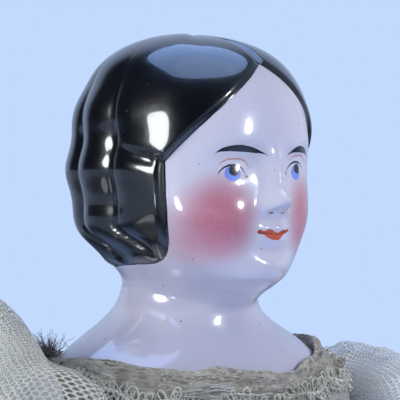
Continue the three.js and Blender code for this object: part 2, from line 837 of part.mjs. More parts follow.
function thigh() {
  const ring = (level, wide, thick) => ({
    centre: point(legCentre, 0, level),
    wide,
    thick: thick ?? wide,
    along: legDown,
  });
  const kneeTop = kneeLevel + kneeRound + seamGap;
  const cloth = toSolid(sweptBody([
    ring(hipLevel, thighRadius * 0.94, hipRound),
    ring(hipLevel - hipRound / 2, thighRadius, thighRadius * 0.94),
    ring(hipLevel - hipRound * 1.6, thighRadius),
    ring(mix(kneeLevel, hipLevel, 0.5), mix(kneeRadius, thighRadius, 0.6)),
    ring(kneeTop + kneeRound, kneeRadius),
    ring(kneeTop, kneeRadius * 0.96, kneeRound),
  ], legFlat, limbColumns));
  return toGeometry(cloth.add(roundSeam(hipLevel, hipRound, thighRadius * 0.9)));
}

function legTop() {
  return point(legCentre, 0, kneeLevel - kneeClothLength);
}

function knee() {
  const chinaRadius = kneeRadius - clothThickness;
  const top = legTop();
  const boundRadius = chinaRadius - grooveDepth + seat + clothThickness;
  const ring = (distance, wide, thick) => ({
    centre: top.clone().addScaledVector(legDown, distance), wide, thick: thick ?? wide, along: legDown,
  });
  const cloth = toSolid(sweptBody([
    ring(-kneeClothLength, kneeRadius * 0.94, kneeRound),
    ring(-kneeClothLength * 0.6, kneeRadius),
    ring(-seat, kneeRadius + seat),
    ring(flangeHeight + seat * 2, kneeRadius + seat),
    ring(flangeHeight + seat * 3 + clothThickness / 2, boundRadius),
    ring(flangeHeight + grooveHeight, boundRadius),
  ], legFlat, limbColumns));
  const joined = cloth.add(roundSeam(kneeLevel, kneeRound, kneeRadius * 0.9));
  return toGeometry(joined.subtract(toSolid(limbEnd(top, legDown, chinaRadius, legFlat, seat))));
}

function chinaLeg() {
  const chinaRadius = kneeRadius - clothThickness;
  const top = legTop();
  const length = top.z - soleClearance;
  const bottom = flangeHeight + grooveHeight + seat;
  const ring = (distance, size, back) => ({
    centre: point(legCentre, back, top.z - distance),
    wide: size,
    thick: size,
    along: legDown,
  });
  const leg = toSolid(sweptBody([
    ring(bottom, chinaRadius - grooveDepth / 2, 0),
    ring(bottom + grooveDepth, calfRadius * 0.92, 0),
    ring(length * 0.32, calfRadius, ankleSetback / 2),
    ring(length * 0.6, mix(ankleRadius, calfRadius, 0.4), ankleSetback),
    ring(length * 0.8, ankleRadius, ankleSetback),
    ring(length - ankleRadius, ankleRadius * 1.1, ankleSetback),
  ], legFlat, limbColumns));
  const heel = ankleSetback + ankleRadius * heelShare;
  const boot = toSolid(sweptBody(bootShares.map(([forward, wide, tall]) => ({
    centre: point(legCentre, heel - forward * bootLength, soleClearance),
    wide: bootHalfWidth * wide,
    thick: bootHeight * tall,
    along: point(0, -1, 0),
  })), legFlat, limbColumns, bootFullness));
  const soleCut = boxSolid(
    point(legCentre - bootLength, -bootLength * 2, -bootLength),
    point(legCentre + bootLength, bootLength * 2, soleClearance),
  );
  const whole = leg.add(boot).subtract(soleCut).add(toSolid(limbEnd(top, legDown, chinaRadius, legFlat)));
  return toGeometry(whole);
}

// Dress

const coverRows = (() => {
  const rows = [];
  for (let row = necklineRow; row < plateRow; row += 0.95) {
    rows.push(easedSection(headSection(row), dressEase, dressEase / 2));
  }
  rows.push(easedSection(headSection(plateRow), dressEase, 0));
  return [...rows, ...bodyRows.slice(0, 4).map((section) => easedSection(section, bodiceEase))];
})();

// A bodice panel between two angles round the body
function bodicePanel(fromAngle, toAngle, columns) {
  const angleAt = (column) => mix(fromAngle, toAngle, column / (columns - 1));
  const angles = Array.from({ length: columns }, (_, column) => angleAt(column));
  const lifted = coverRows.map((section, index) => (
    index === coverRows.length - 1 ? easedSection(section, 0, seat * 4) : section
  ));
  const inner = lifted.map((section) => sectionRing(section, angles));
  const outer = lifted.map((section) => sectionRing(easedSection(section, clothGauge), angles));
  let solid = toSolid(clothBody(outer, inner, false));
  for (const side of [-1, 1]) {
    const from = point(side * (shoulderPlane - stubRoot), 0, shoulderLevel);
    const to = point(side * (shoulderPlane + stubRoot), 0, shoulderLevel);
    solid = solid.subtract(rodSolid(from, to, armholeRadius, limbColumns + 2));
  }
  return toGeometry(solid);
}

function bodicePanels() {
  const seamAngle = seat / chestHalfWidth;
  const backGap = seat / chestBackDepth;
  const side = Math.PI / 2;
  return {
    bodice_front: bodicePanel(-side + seamAngle, side - seamAngle, 13),
    bodice_back_left: bodicePanel(side + seamAngle, Math.PI - backGap, 7),
    bodice_back_right: bodicePanel(Math.PI + backGap, 3 * side - seamAngle, 7),
  };
}

// The gathered band round the neckline
function neckBand() {
  const columns = 32;
  const angles = sectionAngles(columns);
  const rows = 4;
  const clear = dressEase + clothGauge + facetEase * 1.6;
  const base = easedSection(headSection(necklineRow), clear, dressEase / 2);
  const lower = easedSection(headSection(neckBandEdgeRow), clear, dressEase / 2);
  const grid = (out, ripple) => Array.from({ length: rows }, (_, row) => {
    const share = row / (rows - 1);
    const section = {
      front: base.front.clone().lerp(lower.front, share),
      side: base.side.clone().lerp(lower.side, share),
      back: base.back.clone().lerp(lower.back, share),
      fullness: base.fullness,
    };
    return angles.map((angle, column) => {
      const fold = ripple * Math.cos(Math.PI * (row + column * 0.5));
      return sectionPoint(easedSection(section, out + fold, (1 - share) * neckBandHeight / 4), angle);
    });
  });
  return clothBody(grid(neckBandGauge, neckBandRipple), grid(0, 0), true);
}

// The looped braid below the band
function neckBraid() {
  const steps = braidLoops * 4;
  const clear = dressEase + clothGauge + braidRadius + facetEase * 2;
  const rowPitch = headSection(braidRow).side.distanceTo(headSection(braidRow + 1).side);
  const path = sectionAngles(steps).map((angle, step) => {
    const scallop = (braidScallop / rowPitch) * Math.cos((2 * Math.PI * step) / 4);
    return sectionPoint(easedSection(headSection(braidRow + scallop), clear, dressEase / 2), angle);
  });
  return closedTube(path, () => [braidRadius, braidRadius], braidSides);
}

// Puffed sleeves

// Shares along the puff's own axis, and of its radius
const puffShares = [
  [0.045, 0.6], [0.13, 0.85], [0.3, 1], [0.5, 1], [0.68, 0.86], [0.84, 0.62], [0.95, 0.33],
];

function puffShape({ stand, radius, gauge, columns, flutes, fluteDepth, lift }) {
  const { down, sleeveEnd } = armLine();
  const exit = sleeveEnd.clone().addScaledVector(down, -lift);
  const lean = point(puffLean, 0, puffHeight).normalize();
  const bandRadius = sleeveBandRadius + sleeveBandGauge;
  const turnedUp = 0.3;
  const ringAt = (height, reach, flute) => {
    const up = down.clone().negate().lerp(lean, Math.min(Math.max(height, 0) / turnedUp, 1)).normalize();
    const across = up.clone().cross(armFlat).normalize();
    const rise = height < 0 ? up : lean;
    return sectionAngles(columns).map((angle, column) => {
      const fold = flute * Math.cos((2 * Math.PI * flutes * column) / columns);
      return exit.clone().addScaledVector(rise, height * stand)
        .addScaledVector(armFlat, Math.cos(angle) * (reach + fold))
        .addScaledVector(across, Math.sin(angle) * (reach + fold));
    });
  };
  const rings = [ringAt(0, bandRadius - gauge, 0)];
  if (gauge > 0) {
    rings.unshift(ringAt(-overrun / stand, bandRadius - gauge, 0));
  }
  for (const [height, share] of puffShares) {
    rings.push(ringAt(height, Math.max(share * radius, bandRadius) - gauge, fluteDepth * share));
  }
  return toSolid(loftedBody(rings, undefined, exit.clone().addScaledVector(lean, stand - gauge)));
}

// The hollow sleeve, open at the band below and at the armhole, where the arm's top comes in
function puff(shape) {
  const reach = puffHeight * 2;
  const bodySide = boxSolid(
    point(0, -reach, shoulderLevel - reach),
    point(shoulderPlane + seat, reach, shoulderLevel + reach),
  );
  const shoulder = point(armCentre, 0, shoulderLevel);
  const armhole = rodSolid(point(0, 0, shoulderLevel), shoulder, armholeRadius, limbColumns);
  const hollow = puffShape({ ...shape, gauge: clothGauge });
  const shell = puffShape({ ...shape, gauge: 0 }).subtract(hollow).subtract(bodySide).subtract(armhole);
  return toGeometry(largestPiece(shell));
}

// What is left when the crumbs of a cut are swept away
function largestPiece(solid) {
  const pieces = solid.decompose();
  return pieces.reduce((largest, piece) => (piece.volume() > largest.volume() ? piece : largest));
}

function sleeveBand() {
  const { down, sleeveEnd } = armLine();
  const grid = (out) => [0, 1].map((share) => {
    const middle = sleeveEnd.clone().addScaledVector(down, seat + share * sleeveBandHeight);
    const across = down.clone().cross(armFlat).normalize();
    return sectionAngles(limbColumns + 2).map((angle) => middle.clone()
      .addScaledVector(armFlat, Math.cos(angle) * (sleeveBandRadius + out))
      .addScaledVector(across, Math.sin(angle) * (sleeveBandRadius + out)));
  });
  return clothBody(grid(sleeveBandGauge), grid(0), true);
}

// Waistband, skirt and underclothes

const waistSection = (out, level) => {
  const base = easedSection(bodyRows[3], out);
  return {
    front: new THREE.Vector2(base.front.x, level),
    side: new THREE.Vector2(base.side.x, level),
    back: new THREE.Vector2(base.back.x, level),
    fullness: base.fullness,
  };
};

const drawersOut = facetEase;
const petticoatOut = drawersOut + clothGauge + facetEase * 1.8;
const skirtOut = petticoatOut + clothGauge + seat;
const bandOut = skirtOut + clothGauge + facetEase;

function waistBand() {
  const angles = sectionAngles(bodyColumns * 1.5);
  const bodiceTop = waistLevel + waistBandRise;
  const ribs = bodyRows[2];
  const riseShare = waistBandRise / (ribs.side.y - waistLevel);
  const overBodice = {
    front: bodyRows[3].front.clone().lerp(ribs.front, riseShare),
    side: bodyRows[3].side.clone().lerp(ribs.side, riseShare),
    back: bodyRows[3].back.clone().lerp(ribs.back, riseShare),
    fullness: bodyRows[3].fullness,
  };
  const bodiceOut = bodiceEase + clothGauge + facetEase;
  const grid = (out) => [
    sectionRing(easedSection(overBodice, bodiceOut + out, bodiceTop - overBodice.side.y), angles),
    sectionRing(waistSection(bandOut + out, waistLevel + waistBandRise / 4), angles),
    sectionRing(waistSection(bandOut + out, waistLevel - waistBandDrop), angles),
  ];
  return clothBody(grid(waistBandGauge), grid(0), true);
}

// A bell that falls from the waist: rows from the top to the foot
function bell({ out, foot, halfWidth, halfDepth, flutes, fluteDepth, columns, rows, gauge, hem }) {
  const flareLevel = waistLevel - waistBandDrop;
  const angles = sectionAngles(columns);
  const bellPower = 1.9;
  const ringAt = (level, thick, extra) => {
    const share = THREE.MathUtils.clamp((flareLevel - level) / (flareLevel - foot), 0, 1);
    const swell = 1 - (1 - share) ** bellPower;
    const section = waistSection(out, level);
    section.front.x = mix(section.front.x, halfDepth, swell);
    section.back.x = mix(section.back.x, halfDepth, swell);
    section.side.x = mix(section.side.x, halfWidth, swell);
    return angles.map((angle, column) => {
      const fold = fluteDepth * share ** 0.7 * Math.cos((2 * Math.PI * flutes * column) / columns);
      return sectionPoint(easedSection(section, thick + fold + extra), angle);
    });
  };
  const levels = [waistLevel - seat];
  for (let row = 0; row <= rows; row += 1) {
    const share = row / rows;
    levels.push(mix(flareLevel, foot + hem.height, share ** 1.25));
  }
  const outer = levels.map((level) => ringAt(level, gauge, 0));
  const inner = levels.map((level) => ringAt(level, 0, 0));
  if (hem.gauge > gauge) {
    outer.push(ringAt(foot + hem.height - hem.gauge, gauge, 0));
    inner.push(ringAt(foot + hem.height - hem.gauge, gauge - hem.gauge, 0));
    outer.push(ringAt(foot, gauge, 0));
    inner.push(ringAt(foot, gauge - hem.gauge, 0));
  } else {
    outer.push(ringAt(foot, gauge, 0));
    inner.push(ringAt(foot, 0, 0));
  }
  return clothBody(outer, inner, true);
}

function skirt() {
  return bell({
    out: skirtOut,
    foot: 0,
    halfWidth: hemHalfWidth,
    halfDepth: hemHalfDepth,
    flutes: skirtFlutes,
    fluteDepth: skirtFluteDepth,
    columns: skirtFlutes * 4,
    rows: 6,
    gauge: clothGauge,
    hem: { height: hemHeight, gauge: hemGauge },
  });
}

function petticoat() {
  const inset = skirtFluteDepth + petticoatFluteDepth + petticoatInset;
  return bell({
    out: petticoatOut,
    foot: petticoatClearance,
    halfWidth: hemHalfWidth - inset,
    halfDepth: hemHalfDepth - inset,
    flutes: petticoatFlutes,
    fluteDepth: petticoatFluteDepth,
    columns: petticoatFlutes * 3,
    rows: 4,
    gauge: clothGauge,
    hem: { height: hemHeight, gauge: clothGauge },
  });
}

function drawersWaist() {
  const angles = sectionAngles(bodyColumns);
  const sections = [
    waistSection(drawersOut, waistLevel - seat),
    easedSection(bodyRows[4], drawersOut),
    easedSection(bodyRows[5], drawersOut),
  ];
  const grid = (out) => sections.map((section) => sectionRing(easedSection(section, out), angles));
  return clothBody(grid(clothGauge), grid(0), true);
}

function drawersLeg() {
  const top = hipLevel - hipRound;
  const rows = 3;
  const grid = (out) => Array.from({ length: rows }, (_, row) => {
    const share = row / (rows - 1);
    const level = top - share * drawersLegLength;
    const reach = thighRadius + seat * 2 + out + share * clothGauge * 2;
    return sectionAngles(limbColumns + 2).map((angle) => (
      point(legCentre + Math.sin(angle) * reach, Math.cos(angle) * reach, level)
    ));
  });
  return clothBody(grid(clothGauge), grid(0), true);
}

// A small button with a rounded front, on the left back panel beside the closing
function backButton(index) {
  const share = (index + 0.6) / buttonCount;
  const level = mix(shoulderLevel, waistLevel + waistBandRise + buttonRadius, share);
  const below = coverRows.findIndex((section) => section.back.y < level);
  const [low, high] = [coverRows[below].back, coverRows[below - 1].back];
  const reach = mix(low.x, high.x, (level + buttonRadius - low.y) / (high.y - low.y));
  const start = reach + clothGauge + seat;
  const profile = [
    new THREE.Vector2(0, 0),
    new THREE.Vector2(buttonRadius, 0),
    new THREE.Vector2(buttonRadius, buttonThickness * 0.45),
    new THREE.Vector2(buttonRadius * 0.7, buttonThickness * 0.85),
    new THREE.Vector2(0, buttonThickness),
  ];
  const button = new THREE.LatheGeometry(profile, 8);
  button.translate(buttonRadius, start, level);
  return button;
}

// Assembly

const china = { color: 0xe4e2ec, roughness: 0.08, metalness: 0 };
const muslin = { color: 0xcbbfa6, roughness: 0.9, metalness: 0 };
const thread = { color: 0xb7a98c, roughness: 0.8, metalness: 0 };
const crape = { color: 0x98948a, roughness: 0.95, metalness: 0 };
const net = { color: 0xb9beb6, roughness: 0.9, metalness: 0 };
const braidCotton = { color: 0xa9a7a0, roughness: 0.9, metalness: 0 };
const cotton = { color: 0xddd8cc, roughness: 0.9, metalness: 0 };
const buttonChina = { color: 0xeeeae0, roughness: 0.2, metalness: 0 };

const doll = new THREE.Group();

function place(parent, name, geometry, finish) {
  const mesh = new THREE.Mesh(geometry, new THREE.MeshStandardMaterial({ ...finish, flatShading: true }));
  mesh.name = name;
  parent.add(mesh);
}

// The same geometry on the doll's right, reflected in the plane x = 0
function reflected(geometry) {
  const copy = geometry.clone();
  copy.applyMatrix4(new THREE.Matrix4().makeScale(-1, 1, 1));
  const order = copy.index.array;
  for (let start = 0; start < order.length; start += 3) {
    [order[start + 1], order[start + 2]] = [order[start + 2], order[start + 1]];
  }
  return copy;
}

function placePair(parent, name, geometry, finish) {
  place(parent, `${name}_left`, geometry, finish);
  place(parent, `${name}_right`, reflected(geometry), finish);
}

place(doll, 'shoulder_head', shoulderHead(), china);
place(doll, 'torso', torso(), muslin);
for (const [end, isFront] of [['front', true], ['back', false]]) {
  placePair(doll, `sew_tie_${end}`, sewTie(sewHoleAcross, isFront), thread);
}

const arm = armLine();
placePair(doll, 'upper_arm', upperArm(), muslin);
placePair(doll, 'forearm', foreArm(), china);
placePair(doll, 'arm_tie', limbTie(arm.elbow, arm.down, armRadius - clothThickness, armFlat), thread);
placePair(doll, 'thigh', thigh(), muslin);
placePair(doll, 'knee', knee(), muslin);
placePair(doll, 'lower_leg', chinaLeg(), china);
placePair(doll, 'leg_tie', limbTie(legTop(), legDown, kneeRadius - clothThickness, legFlat), thread);

for (const [name, geometry] of Object.entries(bodicePanels())) {
  place(doll, name, geometry, crape);
}
for (let index = 0; index < buttonCount; index += 1) {
  place(doll, `back_button_${index + 1}`, backButton(index), buttonChina);
}
place(doll, 'neck_band', neckBand(), crape);
place(doll, 'neck_braid', neckBraid(), braidCotton);

// The right sleeve stands higher than the left
const sleeves = [
  { side: 'left', stand: leftStand, mirror: (geometry) => geometry },
  { side: 'right', stand: rightStand, mirror: reflected },
];
for (const { side, stand, mirror } of sleeves) {
  const netPuff = {
    stand,
    radius: puffRadius,
    columns: puffFlutes * 2,
    flutes: puffFlutes,
    fluteDepth: puffFluteDepth,
    lift: 0,
  };
  const lining = {
    stand: stand * liningStandShare,
    radius: puffRadius * liningRadiusShare - puffFluteDepth,
    columns: limbColumns,
    flutes: 0,
    fluteDepth: 0,
    lift: clothGauge * 1.3,
  };
  place(doll, `sleeve_puff_${side}`, mirror(puff(netPuff)), net);
  place(doll, `sleeve_lining_${side}`, mirror(puff(lining)), cotton);
}
placePair(doll, 'sleeve_band', sleeveBand(), net);

place(doll, 'waistband', waistBand(), crape);
place(doll, 'skirt', skirt(), crape);
place(doll, 'petticoat', petticoat(), cotton);
place(doll, 'drawers_waist', drawersWaist(), cotton);
placePair(doll, 'drawers_leg', drawersLeg(), cotton);

export default doll;
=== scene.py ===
"""A china shoulder head doll with a stuffed muslin body, china limbs and an old dress of crape and net."""

import logging
import math
from dataclasses import dataclass, field
from enum import Enum
from typing import Optional, Sequence

import bpy
import bmesh
import numpy as np
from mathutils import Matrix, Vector


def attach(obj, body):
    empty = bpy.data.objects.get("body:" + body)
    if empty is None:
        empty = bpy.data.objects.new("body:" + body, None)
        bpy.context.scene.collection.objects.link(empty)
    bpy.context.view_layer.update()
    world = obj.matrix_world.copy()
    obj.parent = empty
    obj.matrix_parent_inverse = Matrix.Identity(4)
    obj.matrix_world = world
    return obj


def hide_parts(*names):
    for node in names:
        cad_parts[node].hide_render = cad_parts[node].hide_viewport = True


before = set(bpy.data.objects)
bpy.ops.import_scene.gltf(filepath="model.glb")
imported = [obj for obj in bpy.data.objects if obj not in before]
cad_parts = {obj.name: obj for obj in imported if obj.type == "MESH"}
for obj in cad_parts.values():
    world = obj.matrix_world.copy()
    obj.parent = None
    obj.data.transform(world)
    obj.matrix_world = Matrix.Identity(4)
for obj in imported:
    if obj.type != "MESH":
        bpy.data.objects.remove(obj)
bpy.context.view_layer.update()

logging.basicConfig(level=logging.INFO, format="%(name)s: %(message)s")
LOG = logging.getLogger("doll")

MM = 0.001
FULL_TURN = 2 * math.pi
Grid = np.ndarray
Colour = tuple[float, float, float]
Spot = tuple[float, float, float]
Faces = list[tuple[int, ...]]
Body = tuple[Grid, Faces]
Piece = bpy.types.Object
Material = bpy.types.Material
Node = bpy.types.Node
NodeTree = bpy.types.NodeTree
Socket = bpy.types.NodeSocket

ASIDE = np.array([1.0, 0.0, 0.0])
BEHIND = np.array([0.0, 1.0, 0.0])
UP = np.array([0.0, 0.0, 1.0])


class Side(Enum):
    """The doll's own left and right."""

    LEFT = 1
    RIGHT = -1

    @property
    def word(self) -> str:
        """The side's name, as the bodies and nodes carry it."""
        return self.name.lower()


class Place(Enum):
    """Whether something lies in front of the doll or at its back."""

    FRONT = "front"
    BACK = "back"


class Lay(Enum):
    """Which way a grid of points closes on itself."""

    OPEN = "open"
    ROUND = "round"


def paint(red: int, green: int, blue: int) -> Colour:
    """Turn a colour as it is seen on a screen into the linear one that a material takes.

    Args:
        red: Red from 0 to 255.
        green: Green from 0 to 255.
        blue: Blue from 0 to 255.

    Returns:
        The linear colour.
    """
    shares = (value / 255 for value in (red, green, blue))
    return tuple(s / 12.92 if s < 0.04045 else ((s + 0.055) / 1.055) ** 2.4 for s in shares)


def smooth(value: Grid, low: float, high: float) -> Grid:
    """Rise softly from 0 at `low` to 1 at `high`."""
    share = np.clip((value - low) / (high - low), 0.0, 1.0)
    return share * share * (3 - 2 * share)


def mix(low: Grid, high: Grid, share: Grid) -> Grid:
    """Go from `low` to `high` by a share."""
    return low + (high - low) * share


def hump(value: Grid, middle: float, width: float) -> Grid:
    """A soft swelling of height 1 round a middle."""
    return np.exp(-(((value - middle) / width) ** 2))


def circle(count: int) -> Grid:
    """Angles that share a full turn evenly."""
    return np.linspace(0, FULL_TURN, count, False)


def away_at(angles: Grid, up: float = 0.0) -> Grid:
    """The way that points away from the doll's middle, at angles round from its front."""
    return np.stack([np.sin(angles), -np.cos(angles), np.full_like(angles, up)], -1)


def chart(rows: int, angles: Grid) -> tuple[Grid, Grid]:
    """How far down each row of a sheet lies, from 0 to 1, and how far round each of its columns."""
    return np.linspace(0, 1, rows)[:, None], angles[None, :]


def unit(ways: Grid) -> Grid:
    """Directions made one long."""
    return ways / np.linalg.norm(ways, axis=-1, keepdims=True)


def through(points: Grid, places: Grid) -> Grid:
    """Find points on a smooth line through given points.

    Args:
        points: The points that the line passes, one in each row.
        places: Row numbers, whole or between.

    Returns:
        One point for each place.
    """
    places = np.asarray(places, float)
    last = len(points) - 1
    start = np.clip(np.floor(places).astype(int), 0, last)
    rest = (places - start)[:, None]
    near, here, there, far = (points[np.clip(start + step, 0, last)] for step in (-1, 0, 1, 2))
    leave, arrive = (there - near) / 2, (far - here) / 2
    cubic = (2 * here - 2 * there + leave + arrive) * rest**3
    return cubic + (3 * there - 3 * here - 2 * leave - arrive) * rest**2 + leave * rest + here


def wander(seed: int, *waves: Grid) -> Grid:
    """A slow, uneven swing made of sine waves, for folds that no two of are alike.

    Args:
        seed: Chooses the phases.
        waves: One or more grids of angles in radians.

    Returns:
        Values of about -1 to 1.
    """
    chance = np.random.default_rng(seed)
    total = 0.0
    for index, wave in enumerate(waves):
        for octave in range(3):
            total = total + np.sin(wave * (1 + octave) + chance.uniform(0, FULL_TURN)) / (1 + octave + index)
    return total / (1.9 * max(len(waves), 1) ** 0.5)


# Meshes


def new_piece(name: str, points: Grid, faces: Faces, finish: Material) -> Piece:
    """Put a mesh in the scene, with its place in its mesh and its object at the origin.

    Args:
        name: The piece's name.
        points: Its corners in millimetres.
        faces: The corners of each face.
        finish: Its material.

    Returns:
        The new object.
    """
    mesh = bpy.data.meshes.new(name)
    mesh.from_pydata((np.asarray(points, float).reshape(-1, 3) * MM).tolist(), [], faces)
    mesh.materials.append(finish)
    piece = bpy.data.objects.new(name, mesh)
    bpy.context.scene.collection.objects.link(piece)
    return shade_smooth(piece)


def shade_smooth(piece: Piece) -> Piece:
    """Shade every face of a piece smoothly."""
    piece.data.polygons.foreach_set("use_smooth", [True] * len(piece.data.polygons))
    return piece


def grid_faces(rows: int, columns: int, lay: Lay, start: int = 0, turned: bool = False) -> Faces:
    """The four-cornered faces of a grid.

    Args:
        rows: How many rows of points it has.
        columns: How many points each row has.
        lay: Whether its last column meets its first.
        start: The number of its first point.
        turned: Whether the faces look the other way.

    Returns:
        The faces, by point number.
    """
    spans = columns if lay is Lay.ROUND else columns - 1
    row, column = np.meshgrid(np.arange(rows - 1), np.arange(spans), indexing="ij")
    after = (column + 1) % columns
    here, below = row * columns, (row + 1) * columns
    corners = np.stack([here + column, here + after, below + after, below + column], -1).reshape(-1, 4) + start
    return [tuple(face) for face in (corners[:, ::-1] if turned else corners).tolist()]


def closed_body(name: str, rings: Grid, tips: Sequence[Grid], finish: Material, turned: bool = False) -> Piece:
    """Put a body made of rings in the scene, closed to a point at each end.

    Args:
        name: The body's name.
        rings: Its rings of points.
        tips: The point that closes its first ring, and the one that closes its last.
        finish: Its material.
        turned: Whether the faces look the other way.

    Returns:
        The new object.
    """
    rows, sides = rings.shape[:2]
    count, last = rows * sides, (rows - 1) * sides
    faces = grid_faces(rows, sides, Lay.ROUND)
    for side in range(sides):
        after = (side + 1) % sides
        faces += [(count, after, side), (last + side, last + after, count + 1)]
    if turned:
        faces = [face[::-1] for face in faces]
    return new_piece(name, np.concatenate([rings.reshape(-1, 3), tips]), faces, finish)


def mark(piece: Piece, name: str, values: Grid) -> None:
    """Write one number at each point of a piece, for its material to read."""
    attribute = piece.data.attributes.new(name, "FLOAT", "POINT")
    attribute.data.foreach_set("value", np.asarray(values, np.float32).ravel())


def settle(piece: Piece, body: str, slot: str, *nodes: str) -> Piece:
    """Put a finished piece on its body, in place of the nodes that it stands for, and report it.

    Args:
        piece: The finished piece.
        body: The body that it moves with.
        slot: Not used.
        nodes: The solids that it is seen in place of.

    Returns:
        The same piece.
    """
    if nodes:
        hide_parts(*nodes)
    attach(piece, body)
    LOG.info("%s rides on %s", piece.name, body)
    return piece


# Materials

Value = float | tuple[float, ...] | Socket


class Graph:
    """The nodes of one material or node group, as they are written."""

    def __init__(self, tree: NodeTree, family: str = "ShaderNode") -> None:
        """Start on a tree, with the word that its nodes' kinds begin with."""
        self.tree, self.family = tree, family

    def add(self, kind: str, inputs: Optional[dict[str | int, Value]] = None, **settings: object) -> Node:
        """Add a node.

        Args:
            kind: The node's kind, without the family's word.
            inputs: Values or sockets for its inputs.
            settings: Values for its own settings.

        Returns:
            The node.
        """
        node = self.tree.nodes.new(f"{self.family}{kind}")
        for name, value in settings.items():
            setattr(node, name, value)
        self.feed(node, inputs or {})
        return node

    def feed(self, node: Node, inputs: dict[str | int, Value]) -> None:
        """Give inputs of a node their values, or link them to what makes them.

        Args:
            node: The node.
            inputs: For each input its value, or the socket that makes it.
        """
        for name, value in inputs.items():
            socket = node.inputs[name]
            if isinstance(value, Socket):
                self.tree.links.new(value, socket)
            elif isinstance(value, tuple) and len(value) == 3 and socket.type == "RGBA":
                socket.default_value = (*value, 1.0)
            else:
                socket.default_value = value

    def math(self, operation: str, *values: Value) -> Socket:
        """Work out one number from one, two or three."""
        return self.add("Math", dict(enumerate(values)), operation=operation).outputs[0]

    def times(self, value: Value, factor: Value) -> Socket:
        """Multiply two numbers."""
        return self.math("MULTIPLY", value, factor)

    def line(self, value: Value, slope: Value, start: Value) -> Socket:
        """Multiply a number, and add to it where the line starts."""
        return self.math("MULTIPLY_ADD", value, slope, start)

    def plus(self, value: Value, more: Value) -> Socket:
        """Add two numbers."""
        return self.math("ADD", value, more)

    def minus(self, value: Value, less: Value) -> Socket:
        """Take one number from another."""
        return self.math("SUBTRACT", value, less)

    def squares(self, first: Value, second: Value) -> Socket:
        """Add the squares of two numbers."""
        return self.plus(self.math("POWER", first, 2.0), self.math("POWER", second, 2.0))

    def vector(self, operation: str, *values: Value) -> Socket:
        """Work out one vector from vectors."""
        return self.add("VectorMath", dict(enumerate(values)), operation=operation).outputs[0]

    def scaled(self, vector: Value, factor: Value) -> Socket:
        """Make a vector longer or shorter."""
        return self.add("VectorMath", {0: vector, "Scale": factor}, operation="SCALE").outputs[0]

    def measure(self, operation: str, *values: Value) -> Socket:
        """Work out one number from vectors."""
        return self.add("VectorMath", dict(enumerate(values)), operation=operation).outputs["Value"]

    def parts(self, vector: Value) -> Sequence[Socket]:
        """The three numbers of a vector."""
        return self.add("SeparateXYZ", {0: vector}).outputs

    def step(self, value: Value, low: float, high: float) -> Socket:
        """Rise softly from 0 at `low` to 1 at `high`; it falls where `low` is the larger."""
        inputs = {0: value, 1: low, 2: high, 3: 0.0, 4: 1.0}
        return self.add("MapRange", inputs, interpolation_type="SMOOTHSTEP").outputs[0]

    def level(self, size: Value) -> Socket:
        """A vector of one size along and across, and of 1 upward."""
        return self.add("CombineXYZ", {0: size, 1: size, 2: 1.0}).outputs[0]

    def blend(self, share: Value, low: Value, high: Value) -> Socket:
        """Lay one colour over another."""
        return self.add("Mix", {0: share, 6: low, 7: high}, data_type="RGBA").outputs[2]

    def noise(self, place: Value, scale: float, detail: float = 2.0, rough: float = 0.5) -> Socket:
        """A soft uneven pattern of about 0 to 1."""
        return self.add("TexNoise", {"Vector": place, "Scale": scale, "Detail": detail, "Roughness": rough}).outputs[0]

    def relief(self, height: Value, distance: float, strength: float = 1.0, over: Optional[Socket] = None) -> Socket:
        """Turn a height into the slope of the surface, over another slope if there is one."""
        inputs = {"Strength": strength, "Distance": distance, "Height": height}
        return self.add("Bump", inputs | ({"Normal": over} if over else {})).outputs[0]

    def place(self) -> Socket:
        """Where a point lies on the doll, in metres."""
        return self.add("TexCoord").outputs["Object"]

    def flat(self) -> Socket:
        """Where a point lies on the cloth's own flat pattern, in metres."""
        return self.add("UVMap", uv_map="Weave").outputs[0]


def new_finish(name: str) -> tuple[Material, Graph, Node]:
    """Start a material.

    Args:
        name: The material's name.

    Returns:
        The material, its graph and its main surface node.
    """
    material = bpy.data.materials.new(name)
    material.use_nodes = True
    graph = Graph(material.node_tree)
    return material, graph, material.node_tree.nodes["Principled BSDF"]


def new_group(name: str, inputs: dict[str, tuple[str, object]], outputs: dict[str, str]) -> tuple[NodeTree, Graph]:
    """Start a node group.

    Args:
        name: The group's name.
        inputs: For each input its kind of socket and its usual value.
        outputs: For each output its kind of socket.

    Returns:
        The group and its graph.
    """
    group = bpy.data.node_groups.new(name, "ShaderNodeTree")
    for word, (kind, value) in inputs.items():
        socket = group.interface.new_socket(name=word, in_out="INPUT", socket_type=f"NodeSocket{kind}")
        if value is not None:
            socket.default_value = value
    for word, kind in outputs.items():
        group.interface.new_socket(name=word, in_out="OUTPUT", socket_type=f"NodeSocket{kind}")
    return group, Graph(group)


# The shoulder head

